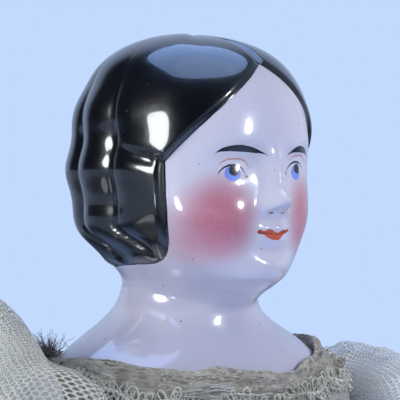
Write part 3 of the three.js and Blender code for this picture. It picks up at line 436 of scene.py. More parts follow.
# The head's three outlines from the crown down to the neck: shares of its reach, and of its height above the neck
FRONT_OF_SKULL = np.array([
    (0, 1), (0.285, 0.991), (0.535, 0.96), (0.72, 0.91), (0.85, 0.84), (0.93, 0.75),
    (0.962, 0.645), (0.947, 0.54), (0.935, 0.432), (0.93, 0.332), (0.925, 0.247), (0.918, 0.172),
    (0.878, 0.11), (0.775, 0.068), (0.66, 0.036),
])
SIDE_OF_SKULL = np.array([
    (0, 1), (0.3, 0.99), (0.566, 0.951), (0.76, 0.887), (0.882, 0.796), (0.944, 0.694),
    (0.968, 0.588), (0.976, 0.484), (0.966, 0.384), (0.918, 0.289), (0.83, 0.213), (0.735, 0.155),
    (0.675, 0.122), (0.645, 0.1), (0.632, 0.08),
])
BACK_OF_SKULL = np.array([
    (0, 1), (0.3, 0.99), (0.57, 0.951), (0.768, 0.885), (0.885, 0.79), (0.952, 0.684),
    (0.98, 0.576), (0.97, 0.463), (0.918, 0.358), (0.808, 0.263), (0.69, 0.193), (0.605, 0.15),
    (0.576, 0.128), (0.57, 0.112), (0.572, 0.1),
])
FRONT_OF_PLATE = np.array([
    (0.13, 0.01), (0.1, 0.09), (0.16, 0.194), (0.353, 0.316), (0.587, 0.449), (0.793, 0.602),
    (0.933, 0.776), (1, 1),
])
SIDE_OF_PLATE = np.array([
    (0, -0.13), (0.065, 0.03), (0.21, 0.16), (0.42, 0.3), (0.628, 0.452), (0.81, 0.629),
    (0.94, 0.814), (1, 1),
])
BACK_OF_PLATE = np.array([
    (0, -0.17), (0.12, -0.02), (0.33, 0.11), (0.555, 0.245), (0.735, 0.395), (0.859, 0.571),
    (0.956, 0.776), (1, 1),
])
SQUARENESS = np.array([
    2, 2.05, 2.1, 2.15, 2.2, 2.25, 2.3, 2.35, 2.35, 2.35, 2.3, 2.25,
    2.15, 2.05, 2, 2, 2, 2, 2.05, 2.1, 2.15, 2.2, 2.25,
])
FACE_FORMS = np.array([
    (0.385, 0.5, 0.1, 0.075, -0.03), (0.39, 0.493, 0.056, 0.043, 0.015), (0.35, 0.59, 0.09, 0.042, 0.006),
    (0.51, 0.32, 0.13, 0.12, 0.018), (0, 0.47, 0.036, 0.085, 0.042), (0, 0.388, 0.04, 0.038, 0.066),
    (0.1, 0.368, 0.027, 0.024, 0.026), (0.067, 0.289, 0.038, 0.019, 0.016), (0, 0.249, 0.05, 0.022, 0.014),
    (0, 0.204, 0.075, 0.028, -0.013), (0, 0.147, 0.085, 0.053, 0.02),
])

@dataclass(frozen=True)
class HeadForm:
    """The moulded surface of the head, hair and shoulder plate, in millimetres."""

    neck_level: float = 463.0
    skull_height: float = 95.0
    half_width: float = 38.2
    front_depth: float = 46.5
    back_depth: float = 41.5
    neck_radius: float = 24.0
    plate_half_width: float = 66.0
    plate_front_depth: float = 39.0
    plate_back_depth: float = 37.5
    plate_front_drop: float = 49.0
    plate_side_drop: float = 35.0
    wall: float = 4.0
    hair_at_brow: float = 1.5
    hair_at_side: float = 3.1
    hair_at_crown: float = 2.0
    hair_edge: float = 3.0
    roll_depth: float = 2.9
    roll_wave: float = 0.75
    pinch: float = 1.0
    pinch_level: float = 0.522
    parting: float = 1.0
    parting_width: float = 1.3
    temple: float = math.radians(53)
    first_groove: float = math.radians(85)
    rolls: int = 3
    tuck: float = math.radians(24)
    hairline: tuple[float, ...] = (0.884, 0.526, 0.163, 0.122)
    hairline_bend: float = 1.15
    left_hairline: float = 0.9
    corner: float = 9.0
    roll_levels: tuple[float, ...] = (0.56, 0.95, 0.31, 0.17)
    wave_level: float = 0.505
    wave_length: float = 0.22
    last_row: int = 22

    def rails(self) -> list[Grid]:
        """The front, side and back outlines, as reach and height.

        Returns:
            One table of reach and height for each outline, from the crown down.
        """
        reaches = (
            (FRONT_OF_SKULL, self.front_depth, FRONT_OF_PLATE, self.plate_front_depth, self.plate_front_drop),
            (SIDE_OF_SKULL, self.half_width, SIDE_OF_PLATE, self.plate_half_width, self.plate_side_drop),
            (BACK_OF_SKULL, self.back_depth, BACK_OF_PLATE, self.plate_back_depth, self.plate_front_drop),
        )
        rails = []
        for skull, reach, plate, edge, drop in reaches:
            upper = np.stack([skull[:, 0] * reach, self.neck_level + skull[:, 1] * self.skull_height], 1)
            lower = np.stack([mix(self.neck_radius, edge, plate[:, 0]), self.neck_level - plate[:, 1] * drop], 1)
            rails.append(np.concatenate([upper, lower]))
        return rails

    def bare(self, rows: Grid, angles: Grid, inset: float = 0.0, out: float = 0.0) -> Grid:
        """The plain form under the hair and the features.

        Args:
            rows: Places down the outlines, in rows of the tables.
            angles: Places round the head from the face, in radians.
            inset: How far inside the surface the points lie, square to the outlines.
            out: How far they are pushed level outward, for cloth that lies on the plate.

        Returns:
            A grid of points.
        """
        rows = np.asarray(rows, float)
        ends = []
        for rail in self.rails():
            points = through(rail, rows)
            if inset:
                after, before = np.minimum(rows + 0.002, self.last_row), np.maximum(rows - 0.002, 0)
                run = unit(through(rail, after) - through(rail, before))
                points = points + np.stack([run[:, 1], -run[:, 0]], 1) * inset
            ends.append(points[:, None, :])
        front, side, back = ends
        power = 2 / through(SQUARENESS[:, None], rows)
        forward, aside = np.cos(angles)[None, :], np.sin(angles)[None, :]
        reach = np.where(forward > 0, front[..., 0], back[..., 0]) + out
        level = np.where(forward > 0, front[..., 1], back[..., 1])
        return np.stack(
            [
                np.sign(aside) * np.abs(aside) ** power * (side[..., 0] + out),
                -np.sign(forward) * np.abs(forward) ** power * reach,
                mix(side[..., 1], level, forward**2),
            ],
            -1,
        )

    def hair_depth(self, spots: Grid) -> Grid:
        """How far points lie inside the hair: negative on the face and neck.

        Args:
            spots: Points of the plain form.

        Returns:
            The distance inside the hair's edge, in millimetres.
        """
        angle = np.arctan2(np.abs(spots[..., 0]), -spots[..., 1])
        height = spots[..., 2] - self.neck_level
        apex, temple, side, nape = self.hairline
        fall = np.minimum(angle / self.temple, 1) ** self.hairline_bend
        fall = fall * np.where(spots[..., 0] > 0, self.left_hairline, 1.0)
        above = height - mix(apex, temple, fall) * self.skull_height
        behind = (angle - self.temple) * np.hypot(spots[..., 0], spots[..., 1])
        foot = height - mix(side, nape, smooth(angle, self.temple, math.pi)) * self.skull_height
        joined = np.maximum(above, behind)
        near = np.clip(1 - np.abs(joined - foot) / self.corner, 0, 1)
        return np.minimum(joined, foot) - self.corner / 4 * near**2

    def hair(self, spots: Grid) -> Grid:
        """The moulded hair's thickness over the skull.

        Args:
            spots: Points of the plain form.

        Returns:
            The thickness at each point, and 0 outside the hair.
        """
        angle = np.arctan2(np.abs(spots[..., 0]), -spots[..., 1])
        share = (spots[..., 2] - self.neck_level) / self.skull_height
        full, faded, tuck_top, tuck_end = self.roll_levels
        lower = 1 - smooth(share, full, faded)
        tucked = angle + self.tuck * (1 - smooth(share, tuck_end, tuck_top))
        turns = (tucked - self.first_groove) / ((math.pi - self.first_groove) / self.rolls)
        roll = np.where(turns < -0.5, 0, np.abs(np.sin(math.pi * turns)) ** 0.7 - 1) * lower
        depth = self.hair_depth(spots)
        edge = 1 - (1 - np.clip(depth / self.hair_edge, 0, 1)) ** 2
        body = mix(self.hair_at_brow, self.hair_at_side, smooth(angle, self.temple / 2, self.temple))
        body = body * (1 - smooth(share, full, 1) / 2)
        swing = np.cos(FULL_TURN * (share - self.wave_level) / self.wave_length)
        wave = self.roll_wave * swing * lower * smooth(angle, self.temple, self.first_groove)
        swept = smooth(angle, self.temple, self.temple + 0.12) * (1 - smooth(angle, 1.25, self.first_groove + 0.1))
        pinch = self.pinch * swept * np.exp(-(((share - self.pinch_level - 0.1 * (angle - self.temple)) / 0.026) ** 2))
        parted = hump(spots[..., 0], 0, self.parting_width) * smooth(share, self.hairline[1], self.hairline[0])
        return np.where(depth > 0, edge * (body + self.roll_depth * roll + wave - pinch - self.parting * parted), 0)

    def face(self, spots: Grid) -> Grid:
        """How far the features stand forward of the plain form.

        Args:
            spots: Points of the plain form.

        Returns:
            The height at each point, and 0 behind the ears.
        """
        rise = np.zeros(spots.shape[:-1])
        for across, height, wide, tall, out in FACE_FORMS:
            aside = (np.abs(spots[..., 0]) - across * self.half_width) / (wide * self.skull_height)
            up = ((spots[..., 2] - self.neck_level) / self.skull_height - height) / tall
            rise += out * self.skull_height * np.exp(-(aside**2) - up**2)
        return np.where(spots[..., 1] > 0, 0, rise)

    def modelled(self, spots: Grid) -> Grid:
        """Points of the plain form with the hair and the features on them.

        Args:
            spots: Points of the plain form.

        Returns:
            The points moved out.
        """
        away = spots.copy()
        away[..., 2] = np.maximum(spots[..., 2] - self.neck_level - self.roll_levels[0] * self.skull_height, 0)
        away /= np.linalg.norm(away, axis=-1, keepdims=True)
        raised = spots + away * self.hair(spots)[..., None]
        raised[..., 1] -= self.face(spots)
        return raised


@dataclass(frozen=True)
class Stroke:
    """One stroke of the china painter's brush: across, up and half its width at each place along it."""

    places: tuple[tuple[float, float, float], ...]
    colour: Colour
    strength: float = 1.0
    softness: float = 0.13

    def mask(self, graph: Graph, across: Value, up: Value) -> Socket:
        """Where the stroke has left its colour.

        Args:
            graph: The material's nodes.
            across: The place across the face in millimetres.
            up: The height above the floor in millimetres.

        Returns:
            The mask, from 0 to the stroke's strength.
        """
        first, last = self.places[0][0], self.places[-1][0]
        low = min(height for _, height, _ in self.places) - 0.5
        high = max(height for _, height, _ in self.places) + 0.5
        broad = max(half for _, _, half in self.places)
        along = graph.math("DIVIDE", graph.minus(across, first), last - first)
        within = graph.math("COMPARE", along, 0.5, 0.5)
        middle = self.drawn(graph, along, [(height - low) / (high - low) for _, height, _ in self.places])
        half = self.drawn(graph, along, [half / broad for _, _, half in self.places])
        middle = graph.line(middle, high - low, low)
        away = graph.math("ABSOLUTE", graph.minus(up, middle))
        inside = graph.minus(graph.times(half, broad), away)
        drawn = graph.times(graph.step(inside, -self.softness, self.softness), within)
        return graph.times(drawn, self.strength)

    def drawn(self, graph: Graph, along: Value, heights: list[float]) -> Socket:
        """A hand-drawn curve through this stroke's places.

        Args:
            graph: The material's nodes.
            along: The share of the stroke's run.
            heights: The curve's height at each place.

        Returns:
            The curve's height, from 0 to 1.
        """
        node = graph.add("FloatCurve", {"Value": along})
        line = node.mapping.curves[0]
        first, last = self.places[0][0], self.places[-1][0]
        shares = [(place[0] - first) / (last - first) for place in self.places]
        line.points[0].location = (0.0, heights[0])
        line.points[1].location = (1.0, heights[-1])
        for share, height in zip(shares[1:-1], heights[1:-1]):
            line.points.new(share, height)
        node.mapping.update()
        return node.outputs[0]


@dataclass(frozen=True)
class Touch:
    """A round or oval touch of colour."""

    across: float
    up: float
    half_width: float
    half_height: float
    colour: Colour
    strength: float = 1.0
    softness: float = 0.06

    def mask(self, graph: Graph, across: Value, up: Value) -> Socket:
        """Where the touch has left its colour.

        Args:
            graph: The material's nodes.
            across: The place across the face in millimetres.
            up: The height above the floor in millimetres.

        Returns:
            The mask, from 0 to the touch's strength.
        """
        aside = graph.math("DIVIDE", graph.minus(across, self.across), self.half_width)
        above = graph.math("DIVIDE", graph.minus(up, self.up), self.half_height)
        reach = graph.math("SQRT", graph.squares(aside, above))
        return graph.times(graph.step(reach, 1 + self.softness, 1 - self.softness), self.strength)


BROW_INK = paint(20, 21, 30)
LID_INK = paint(24, 26, 36)
IRIS_BLUE = paint(132, 156, 232)
IRIS_RIM = paint(104, 124, 210)
LIP_RED = paint(211, 74, 12)
LIP_LINE = paint(140, 52, 44)
CORNER_RED = paint(168, 66, 52)
CREASE_RED = paint(206, 122, 98)

# Millimetres across the face and up from the floor; the two eyes were painted by hand and differ a little
FACE_PAINT: tuple[Stroke | Touch, ...] = (
    Stroke(((-21.7, 515.4, 0.02), (-20.4, 516.5, 0.42), (-18.9, 517.0, 0.76), (-16.5, 517.35, 1.02),
        (-13.9, 517.35, 1.14), (-11.4, 517.15, 1.06), (-8.7, 516.7, 0.84), (-6.6, 516.3, 0.5), (-4.8, 515.8, 0.22),
        (-3.0, 514.9, 0.02)), BROW_INK),
    Stroke(((6.6, 514.9, 0.02), (8.5, 516.1, 0.3), (10.4, 517.0, 0.66), (12.4, 517.5, 1.0), (14.8, 517.7, 1.14),
        (17.2, 517.5, 1.05), (19.6, 517.0, 0.7), (21.4, 516.1, 0.28), (22.6, 515.0, 0.02)), BROW_INK),
    Stroke(((-20.4, 511.4, 0.1), (-18.3, 513.2, 0.26), (-15.2, 513.85, 0.28), (-12.1, 513.5, 0.26),
        (-10.3, 512.0, 0.24), (-9.3, 509.8, 0.05)), CREASE_RED, 0.85, 0.18),
    Stroke(((9.0, 512.6, 0.08), (10.3, 514.2, 0.24), (13.0, 515.3, 0.28), (16.6, 515.5, 0.28), (19.4, 514.6, 0.24),
        (21.2, 512.9, 0.06)), CREASE_RED, 0.85, 0.18),
    Touch(-15.6, 508.9, 2.75, 2.6, IRIS_RIM, 0.9, 0.05),
    Touch(13.6, 509.6, 2.75, 2.6, IRIS_RIM, 0.9, 0.05),
    Touch(-15.6, 508.6, 2.35, 2.1, IRIS_BLUE, 0.9, 0.16),
    Touch(13.6, 509.3, 2.35, 2.1, IRIS_BLUE, 0.9, 0.16),
    Touch(-15.2, 509.9, 1.75, 1.75, LID_INK, 1.0, 0.06),
    Touch(14.4, 510.9, 1.75, 1.75, LID_INK, 1.0, 0.06),
    Stroke(((-20.4, 508.6, 0.16), (-19.5, 509.9, 0.3), (-18.0, 511.15, 0.33), (-15.6, 511.75, 0.4),
        (-13.3, 511.3, 0.38), (-11.9, 510.1, 0.34), (-11.0, 508.2, 0.1)), LID_INK),
    Stroke(((7.6, 509.9, 0.1), (8.6, 511.1, 0.28), (10.6, 512.5, 0.36), (13.2, 513.2, 0.4), (15.9, 513.0, 0.36),
        (18.2, 511.7, 0.28), (19.6, 510.1, 0.1)), LID_INK),
    Touch(-10.6, 507.9, 0.55, 0.48, CORNER_RED, 0.95, 0.2),
    Touch(7.4, 509.2, 0.36, 0.75, CORNER_RED, 0.85, 0.25),
    Touch(-2.9, 495.6, 0.95, 0.36, CORNER_RED, 0.95, 0.25),
    Touch(2.6, 495.6, 0.95, 0.36, CORNER_RED, 0.95, 0.25),
    Stroke(((-7.3, 489.3, 0.2), (-6.3, 489.25, 0.72), (-5.0, 489.0, 0.58), (-3.9, 488.85, 1.15),
        (-2.6, 488.5, 1.55), (-1.0, 488.1, 1.62), (0.4, 487.75, 1.4), (1.2, 487.65, 1.25), (2.3, 487.95, 1.42),
        (3.6, 488.6, 1.28), (4.8, 489.05, 0.68), (6.0, 489.3, 0.66), (7.3, 489.7, 0.2)), LIP_RED, 0.97),
    Stroke(((-7.2, 489.2, 0.35), (-5.4, 488.9, 0.42), (-3.2, 488.7, 0.16), (0.6, 488.3, 0.14), (3.6, 488.8, 0.16),
        (5.6, 489.2, 0.38), (7.2, 489.7, 0.25)), LIP_LINE, 0.7, 0.2),
)


@dataclass(frozen=True)
class ChinaGlaze:
    """Glazed white china: a hard clear coat with flecks of kiln ash, and fine dents that make its lights waver."""

    body: Colour = paint(221, 212, 220)
    clouded: Colour = paint(210, 198, 204)
    hair_black: Colour = paint(8, 9, 15)
    rouge: Colour = paint(200, 108, 122)
    rouge_spot: tuple[float, float, float, float] = (19.4, 493.5, 12.6, 15.6)
    bow_pink: Colour = paint(150, 62, 80)
    fleck: Colour = paint(92, 80, 78)
    # The grey that painted shade, with some grime on the plate, darkens the china towards
    soil: Colour = paint(186, 182, 198)
    neck_soil: float = 0.72
    roughness: float = 0.2
    dent: float = 0.00006
    boot_top: float = 0.041
    garter: float = 0.109
    leg_centre: float = 0.022

    def glaze(self, graph: Graph, surface: Node, colour: Value, thick: Value = 0.0) -> None:
        """Join a painted colour to the glaze that lies over it.

        Args:
            graph: The material's nodes.
            surface: Its main surface node.
            colour: The painted colour.
            thick: Where black colour lies thick and dents the glaze more, from 0 to 1.
        """
        place = graph.place()
        fleck = graph.step(graph.noise(place, 620.0, 1.0), 0.785, 0.81)
        dents = graph.line(graph.noise(place, 60.0, 1.0), 1.0, graph.noise(place, 420.0, 2.0))
        waves = graph.times(graph.noise(place, 150.0, 2.0), graph.times(thick, 5.0))
        graph.feed(surface, {
            "Base Color": graph.blend(fleck, colour, self.fleck),
            "Roughness": graph.line(graph.noise(place, 40.0, 3.0), 0.09, self.roughness),
            "Normal": graph.relief(graph.plus(dents, waves), self.dent, 0.5),
            "IOR": 1.52, "Coat Weight": 1.0, "Coat Roughness": 0.035, "Coat IOR": 1.55,
        })

    def bisque(self, graph: Graph, cloud: Value) -> Socket:
        """The white clay under the glaze, a little clouded."""
        return graph.blend(graph.times(cloud, 0.22), self.body, self.clouded)

    def painted_head(self) -> Material:
        """The head's material, with its hair, face and cheeks painted under the glaze.

        Returns:
            The material.
        """
        material, graph, surface = new_finish("painted_china_head")
        place = graph.place()
        across, depth, up = graph.parts(graph.scaled(place, 1 / MM))
        hand, cloud = graph.noise(place, 900.0, 1.0), graph.noise(place, 22.0, 2.0)
        # Painted shade, with some grime on the plate: the china greys low on the plate and on the sides of the neck
        colour = graph.blend(self.soiled(graph, across, up, cloud), self.bisque(graph, cloud), self.soil)
        front = graph.step(depth, -4.0, -14.0)
        middle, level, half_width, half_height = self.rouge_spot
        aside = graph.math("DIVIDE", graph.minus(graph.math("ABSOLUTE", across), middle), half_width)
        above = graph.math("DIVIDE", graph.minus(up, level), half_height)
        reach = graph.plus(graph.squares(aside, above), graph.line(cloud, 0.3, -0.15))
        stippled = graph.times(front, graph.line(hand, 0.16, 0.84))
        colour = graph.blend(graph.times(graph.step(reach, 1.4, 0.0), stippled), colour, self.rouge)
        brushed_up = graph.plus(up, graph.line(hand, 0.24, -0.12))
        for stroke in FACE_PAINT:
            mask = graph.times(stroke.mask(graph, across, brushed_up), front)
            colour = graph.blend(mask, colour, stroke.colour)
        hair = graph.add("Attribute", attribute_name="hair").outputs["Fac"]
        hair = graph.plus(hair, graph.line(graph.noise(place, 260.0, 2.0), 0.4, -0.2))
        colour = graph.blend(graph.step(hair, -0.55, -0.3), colour, self.hair_black)
        self.glaze(graph, surface, colour, graph.step(hair, 1.0, 4.0))
        return material

    def soiled(self, graph: Graph, across: Value, up: Value, cloud: Value) -> Socket:
        """Where the china is painted darker: painted shade with some grime on the plate under the dress, and painted
        shade on the sides of the neck under the hair.

        Args:
            graph: The material's nodes.
            across: The place across the head in millimetres.
            up: The height above the floor in millimetres.
            cloud: The uneven pattern of the darkening on the plate.

        Returns:
            The mask, from 0 to 1.
        """
        # Painted shade with some grime, darker towards the plate's lower edge
        plate = graph.times(graph.step(up, 470.0, 452.0), graph.line(cloud, 0.3, 0.62))
        # Painted shade on the sides of the neck
        neck = graph.times(graph.step(up, 484.0, 474.0), graph.step(up, 457.0, 465.0))
        neck = graph.times(neck, graph.step(graph.math("ABSOLUTE", across), 8.0, 19.0))
        return graph.math("MAXIMUM", plate, graph.times(neck, self.neck_soil))

    def plain(self) -> Material:
        """White china for the arms and hands, with a breath of pink at the fingers.

        Returns:
            The material.
        """
        material, graph, surface = new_finish("white_china_limb")
        place = graph.place()
        blush = graph.times(graph.step(graph.parts(place)[2], 0.222, 0.2), 0.16)
        white = self.bisque(graph, graph.noise(place, 22.0, 2.0))
        self.glaze(graph, surface, graph.blend(blush, white, self.rouge))
        return material

    def booted(self) -> Material:
        """White china for the legs, with black boots and a ribbon garter painted on them.

        Returns:
            The material.
        """
        material, graph, surface = new_finish("painted_china_leg")
        place = graph.place()
        across, depth, up = graph.parts(place)
        white = self.bisque(graph, graph.noise(place, 22.0, 2.0))
        hand = graph.line(graph.noise(place, 500.0, 1.0), 0.0006, graph.minus(up, 0.0003))
        aside = graph.minus(graph.math("ABSOLUTE", across), self.leg_centre)
        edge = graph.line(graph.math("POWER", graph.times(aside, 110.0), 2.0), 0.004, hand)
        boot = graph.step(edge, self.boot_top + 0.0002, self.boot_top - 0.0002)
        colour = graph.blend(boot, white, self.hair_black)
        rise = graph.minus(hand, self.garter)
        ribbon = graph.times(graph.step(graph.math("ABSOLUTE", rise), 0.0019, 0.0015), 0.9)
        colour = graph.blend(ribbon, colour, self.rouge)
        front = graph.step(depth, -0.004, -0.008)
        for tilt in (-1.0, 1.0):
            out = graph.times(aside, tilt)
            bow = graph.minus(graph.math("POWER", graph.times(rise, 420.0), 2.0), graph.times(out, 170.0))
            reach = graph.times(graph.step(bow, 0.15, -0.05), graph.times(graph.step(out, 0.0054, 0.005), front))
            colour = graph.blend(reach, colour, self.bow_pink)
        self.glaze(graph, surface, colour)
        return material


@dataclass
class ShoulderHead:
    """The moulded and glazed head with its shoulder plate, sewn to the body through four holes."""

    form: HeadForm = field(default_factory=HeadForm)
    columns: int = 368
    crowding: float = 0.45
    hole_radius: float = 1.9
    hole_across: float = 26.0
    hole_rise: float = 11.0
    hole_sides: int = 24
    rim: tuple[tuple[float, float], ...] = ((0.12, 0.55), (0.5, 0.9), (0.88, 0.55))
    certain: float = 9.0

    def angles(self) -> Grid:
        """Places round the head, crowded towards the face."""
        turn = circle(self.columns)
        return turn - self.crowding * np.sin(turn)

    def rows(self) -> Grid:
        """Places down the head, closest over the face and the hair's edge.

        Returns:
            Row numbers of the outlines, whole and between.
        """
        last = self.form.last_row
        runs = (np.linspace(0.08, 3, 24, False), np.linspace(3, 12.5, 142, False), np.linspace(12.5, 15, 22, False))
        return np.concatenate([*runs, np.linspace(15, last, 34)])

    def build(self, finish: Material) -> Piece:
        """Make the head as one closed china shell.

        Args:
            finish: Its material.

        Returns:
            The head.
        """
        form, angles = self.form, self.angles()
        plain = form.bare(self.rows(), angles)
        outer = form.modelled(plain)
        edge = form.bare([form.last_row], angles)[0]
        inner_edge = form.bare([form.last_row], angles, inset=form.wall)[0]
        rim = [mix(edge, inner_edge, share) - drop * UP for share, drop in self.rim]
        inner_rows = np.concatenate([np.linspace(form.last_row, 15, 16), np.linspace(14, 1.5, 12)])
        inner = form.bare(inner_rows, angles, inset=form.wall)
        rings = np.concatenate([outer, np.array(rim), inner])
        crown = (form.neck_level + form.skull_height + form.hair_at_crown) * UP
        head = closed_body("glazed_shoulder_head", rings, [crown, rings[-1].mean(axis=0)], finish, turned=True)
        deep = np.full(len(head.data.vertices), -self.certain)
        deep[: outer.shape[0] * self.columns] = form.hair_depth(plain).ravel()
        deep[-2] = self.certain
        mark(head, "hair", deep)
        self.drill(head)
        return head

    def drill(self, head: Piece) -> None:
        """Cut the four holes that the head is sewn on through.

        Args:
            head: The closed shell.
        """
        level = self.form.neck_level - self.form.plate_front_drop + self.hole_rise
        turns, sides = circle(self.hole_sides), self.hole_sides
        points, faces = [], []
        for across in (-self.hole_across, self.hole_across):
            for reach in (-self.form.plate_front_depth, self.form.plate_back_depth):
                start = len(points)
                for depth in (reach / 2, reach * 1.3):
                    for turn in turns:
                        aside, rise = self.hole_radius * math.cos(turn), self.hole_radius * math.sin(turn)
                        points.append((across + aside, depth, level + rise))
                faces += grid_faces(2, sides, Lay.ROUND, start, turned=reach < 0)
                near, far = tuple(range(start, start + sides)), tuple(range(start + sides, start + 2 * sides))
                faces += [near[::-1], far] if reach > 0 else [near, far[::-1]]
        cutter = new_piece("drill", np.array(points), faces, head.data.materials[0])
        cut = head.modifiers.new("holes", "BOOLEAN")
        cut.object = cutter
        cut.operation = "DIFFERENCE"
        cut.solver = "EXACT"
        harden(head)
        bpy.data.objects.remove(cutter)


def harden(piece: Piece) -> None:
    """Apply a piece's modifiers, so that its mesh is final.

    Args:
        piece: The piece, which keeps its name.
    """
    bpy.context.view_layer.update()
    graph = bpy.context.evaluated_depsgraph_get()
    made = piece.evaluated_get(graph)
    mesh = bpy.data.meshes.new_from_object(made, preserve_all_data_layers=True, depsgraph=graph)
    piece.modifiers.clear()
    old, piece.data = piece.data, mesh
    bpy.data.meshes.remove(old)


def thicken(piece: Piece, gauge: float) -> None:
    """Give a sheet its thickness in millimetres, inward from its outside."""
    wall = piece.modifiers.new("gauge", "SOLIDIFY")
    wall.thickness = gauge * MM
    wall.offset = -1.0
    harden(piece)


# Cloth

# The stuffed body below the plate: level, then reach to the front, side and back, and squareness
BODY_SECTIONS = np.array([
    (403.0, 39.5, 64.5, 38.5, 2.25), (380.3, 36.6, 58.3, 35.9, 2.15), (353.3, 33.2, 49.2, 32.9, 2.1),
    (332.0, 30.5, 41.5, 30.5, 2.05), (312.8, 32.2, 45.2, 34.2, 2.1), (296.4, 34.0, 49.0, 38.0, 2.2),
    (286.4, 31.9, 44.5, 33.5, 2.3),
])


def oval(section: Grid, angles: Grid, out: float | Grid = 0.0) -> Grid:
    """A level ring of the body.

    Args:
        section: Level, reaches to the front, side and back, and squareness.
        angles: Places round from the front, in radians.
        out: How far the ring is pushed out.

    Returns:
        The ring's points.
    """
    level, front, side, back, square = section
    forward, aside = np.cos(angles), np.sin(angles)
    reach = np.where(forward > 0, front, back) + out
    return np.stack([
        np.sign(aside) * np.abs(aside) ** (2 / square) * (side + out),
        -np.sign(forward) * np.abs(forward) ** (2 / square) * reach,
        np.full_like(angles, level),
    ], -1)


def slopes(grid: Grid, lay: Lay) -> tuple[Grid, Grid, Grid]:
    """The two directions and the outward normal at each point of a grid.

    Args:
        grid: The grid of points.
        lay: Whether its last column meets its first.

    Returns:
        The steps down and along, and the normal.
    """
    down = np.gradient(grid, axis=0)
    if lay is Lay.ROUND:
        along = (np.roll(grid, -1, 1) - np.roll(grid, 1, 1)) / 2
    else:
        along = np.gradient(grid, axis=1)
    out = np.cross(down, along)
    size = np.linalg.norm(out, axis=-1, keepdims=True)
    return down, along, out / np.maximum(size, 1e-9)


def dense(rings: Grid, count: int, spacing: Optional[Grid] = None) -> Grid:
    """Lay more rings between the given ones, on smooth lines through them."""
    places = np.linspace(0, len(rings) - 1, count) if spacing is None else spacing * (len(rings) - 1)
    return through(rings.reshape(len(rings), -1), places).reshape(count, -1, 3)


@dataclass
class Cloth:
    """One sheet of cloth as a grid of points, with the flat cut it would lie down to."""

    grid: Grid
    lay: Lay = Lay.OPEN
    turned: bool = False

    def rise(self, heights: Grid) -> "Cloth":
        """Push the sheet out or in by a height at each point."""
        out = slopes(self.grid, self.lay)[2] * (-1 if self.turned else 1)
        return Cloth(self.grid + out * heights[..., None], self.lay, self.turned)

    def closed(self) -> Grid:
        """The grid, with its first column once more at its end where the sheet closes."""
        return np.concatenate([self.grid, self.grid[:, :1]], 1) if self.lay is Lay.ROUND else self.grid

    def cut(self) -> tuple[float, float, float]:
        """The flat cut's width and length in metres, and its area in square metres.

        Returns:
            The width, the length and the area.
        """
        closed = self.closed()
        across = np.linalg.norm(np.diff(closed, axis=1), axis=-1)
        down = np.linalg.norm(np.diff(closed, axis=0), axis=-1)
        width, length = across.sum(1).max() * MM, down.sum(0).mean() * MM
        sides = np.cross(np.diff(closed, axis=1)[:-1], np.diff(closed, axis=0)[:, :-1])
        return width, length, float(np.linalg.norm(sides, axis=-1).sum()) * MM * MM

    def pattern(self) -> Grid:
        """Where each point lay on the flat cut, in metres, with one more column where the sheet closes.

        Returns:
            A grid of places on the flat cut.
        """
        closed = self.closed()
        down = np.linalg.norm(np.diff(closed, axis=0), axis=-1).mean(1)
        across = np.linalg.norm(np.diff(closed, axis=1), axis=-1).max(0)
        u = np.concatenate([[0], np.cumsum(across)]) * MM
        v = np.concatenate([[0], np.cumsum(down)]) * MM
        return np.stack(np.meshgrid(u, v), -1)

    def sew(self, name: str, finish: Material, gauge: float = 0.0) -> Piece:
        """Make the sheet a piece.

        Args:
            name: The piece's name.
            finish: Its material.
            gauge: The cloth's thickness in millimetres.

        Returns:
            The piece.
        """
        rows, columns = self.grid.shape[:2]
        piece = new_piece(name, self.grid, grid_faces(rows, columns, self.lay, turned=self.turned), finish)
        flat = self.pattern()
        corners = np.stack([flat[:-1, :-1], flat[:-1, 1:], flat[1:, 1:], flat[1:, :-1]], 2)
        if self.turned:
            corners = corners[:, :, ::-1]
        piece.data.uv_layers.new(name="Weave").data.foreach_set("uv", corners.reshape(-1, 2).ravel())
        if gauge:
            thicken(piece, gauge)
        return piece


def tube(path: Grid, radii: Grid, sides: int, closed: bool) -> Body:
    """A round body along a path.

    Args:
        path: Points along its middle.
        radii: Its radius at each of them.
        sides: How many sides it has.
        closed: Whether its end meets its start.

    Returns:
        Its points and faces.
    """
    path = np.asarray(path, float)
    run = unit(np.roll(path, -1, 0) - np.roll(path, 1, 0) if closed else np.gradient(path, axis=0))
    away = np.cross(run[0], [0.31, 0.52, 0.79])
    turns = circle(sides)[:, None]
    rings = []
    for spot, way, radius in zip(path, run, np.broadcast_to(radii, len(path))):
        away = unit(away - way * (away @ way))
        rings.append(spot + radius * (np.cos(turns) * away + np.sin(turns) * np.cross(way, away)))
    faces = grid_faces(len(path), sides, Lay.ROUND)
    last = (len(path) - 1) * sides
    if closed:
        twist = min(range(sides), key=lambda k: np.linalg.norm(rings[-1][0] - rings[0][k]))
        for side in range(sides):
            after = side + 1
            faces.append((last + side, last + after % sides, (after + twist) % sides, (side + twist) % sides))
    else:
        faces += [tuple(range(sides))[::-1], tuple(range(last, last + sides))]
    return np.concatenate(rings), faces


def shifted(faces: Faces, start: int) -> Faces:
    """Faces renumbered for points that come after others."""
    return [tuple(corner + start for corner in face) for face in faces]


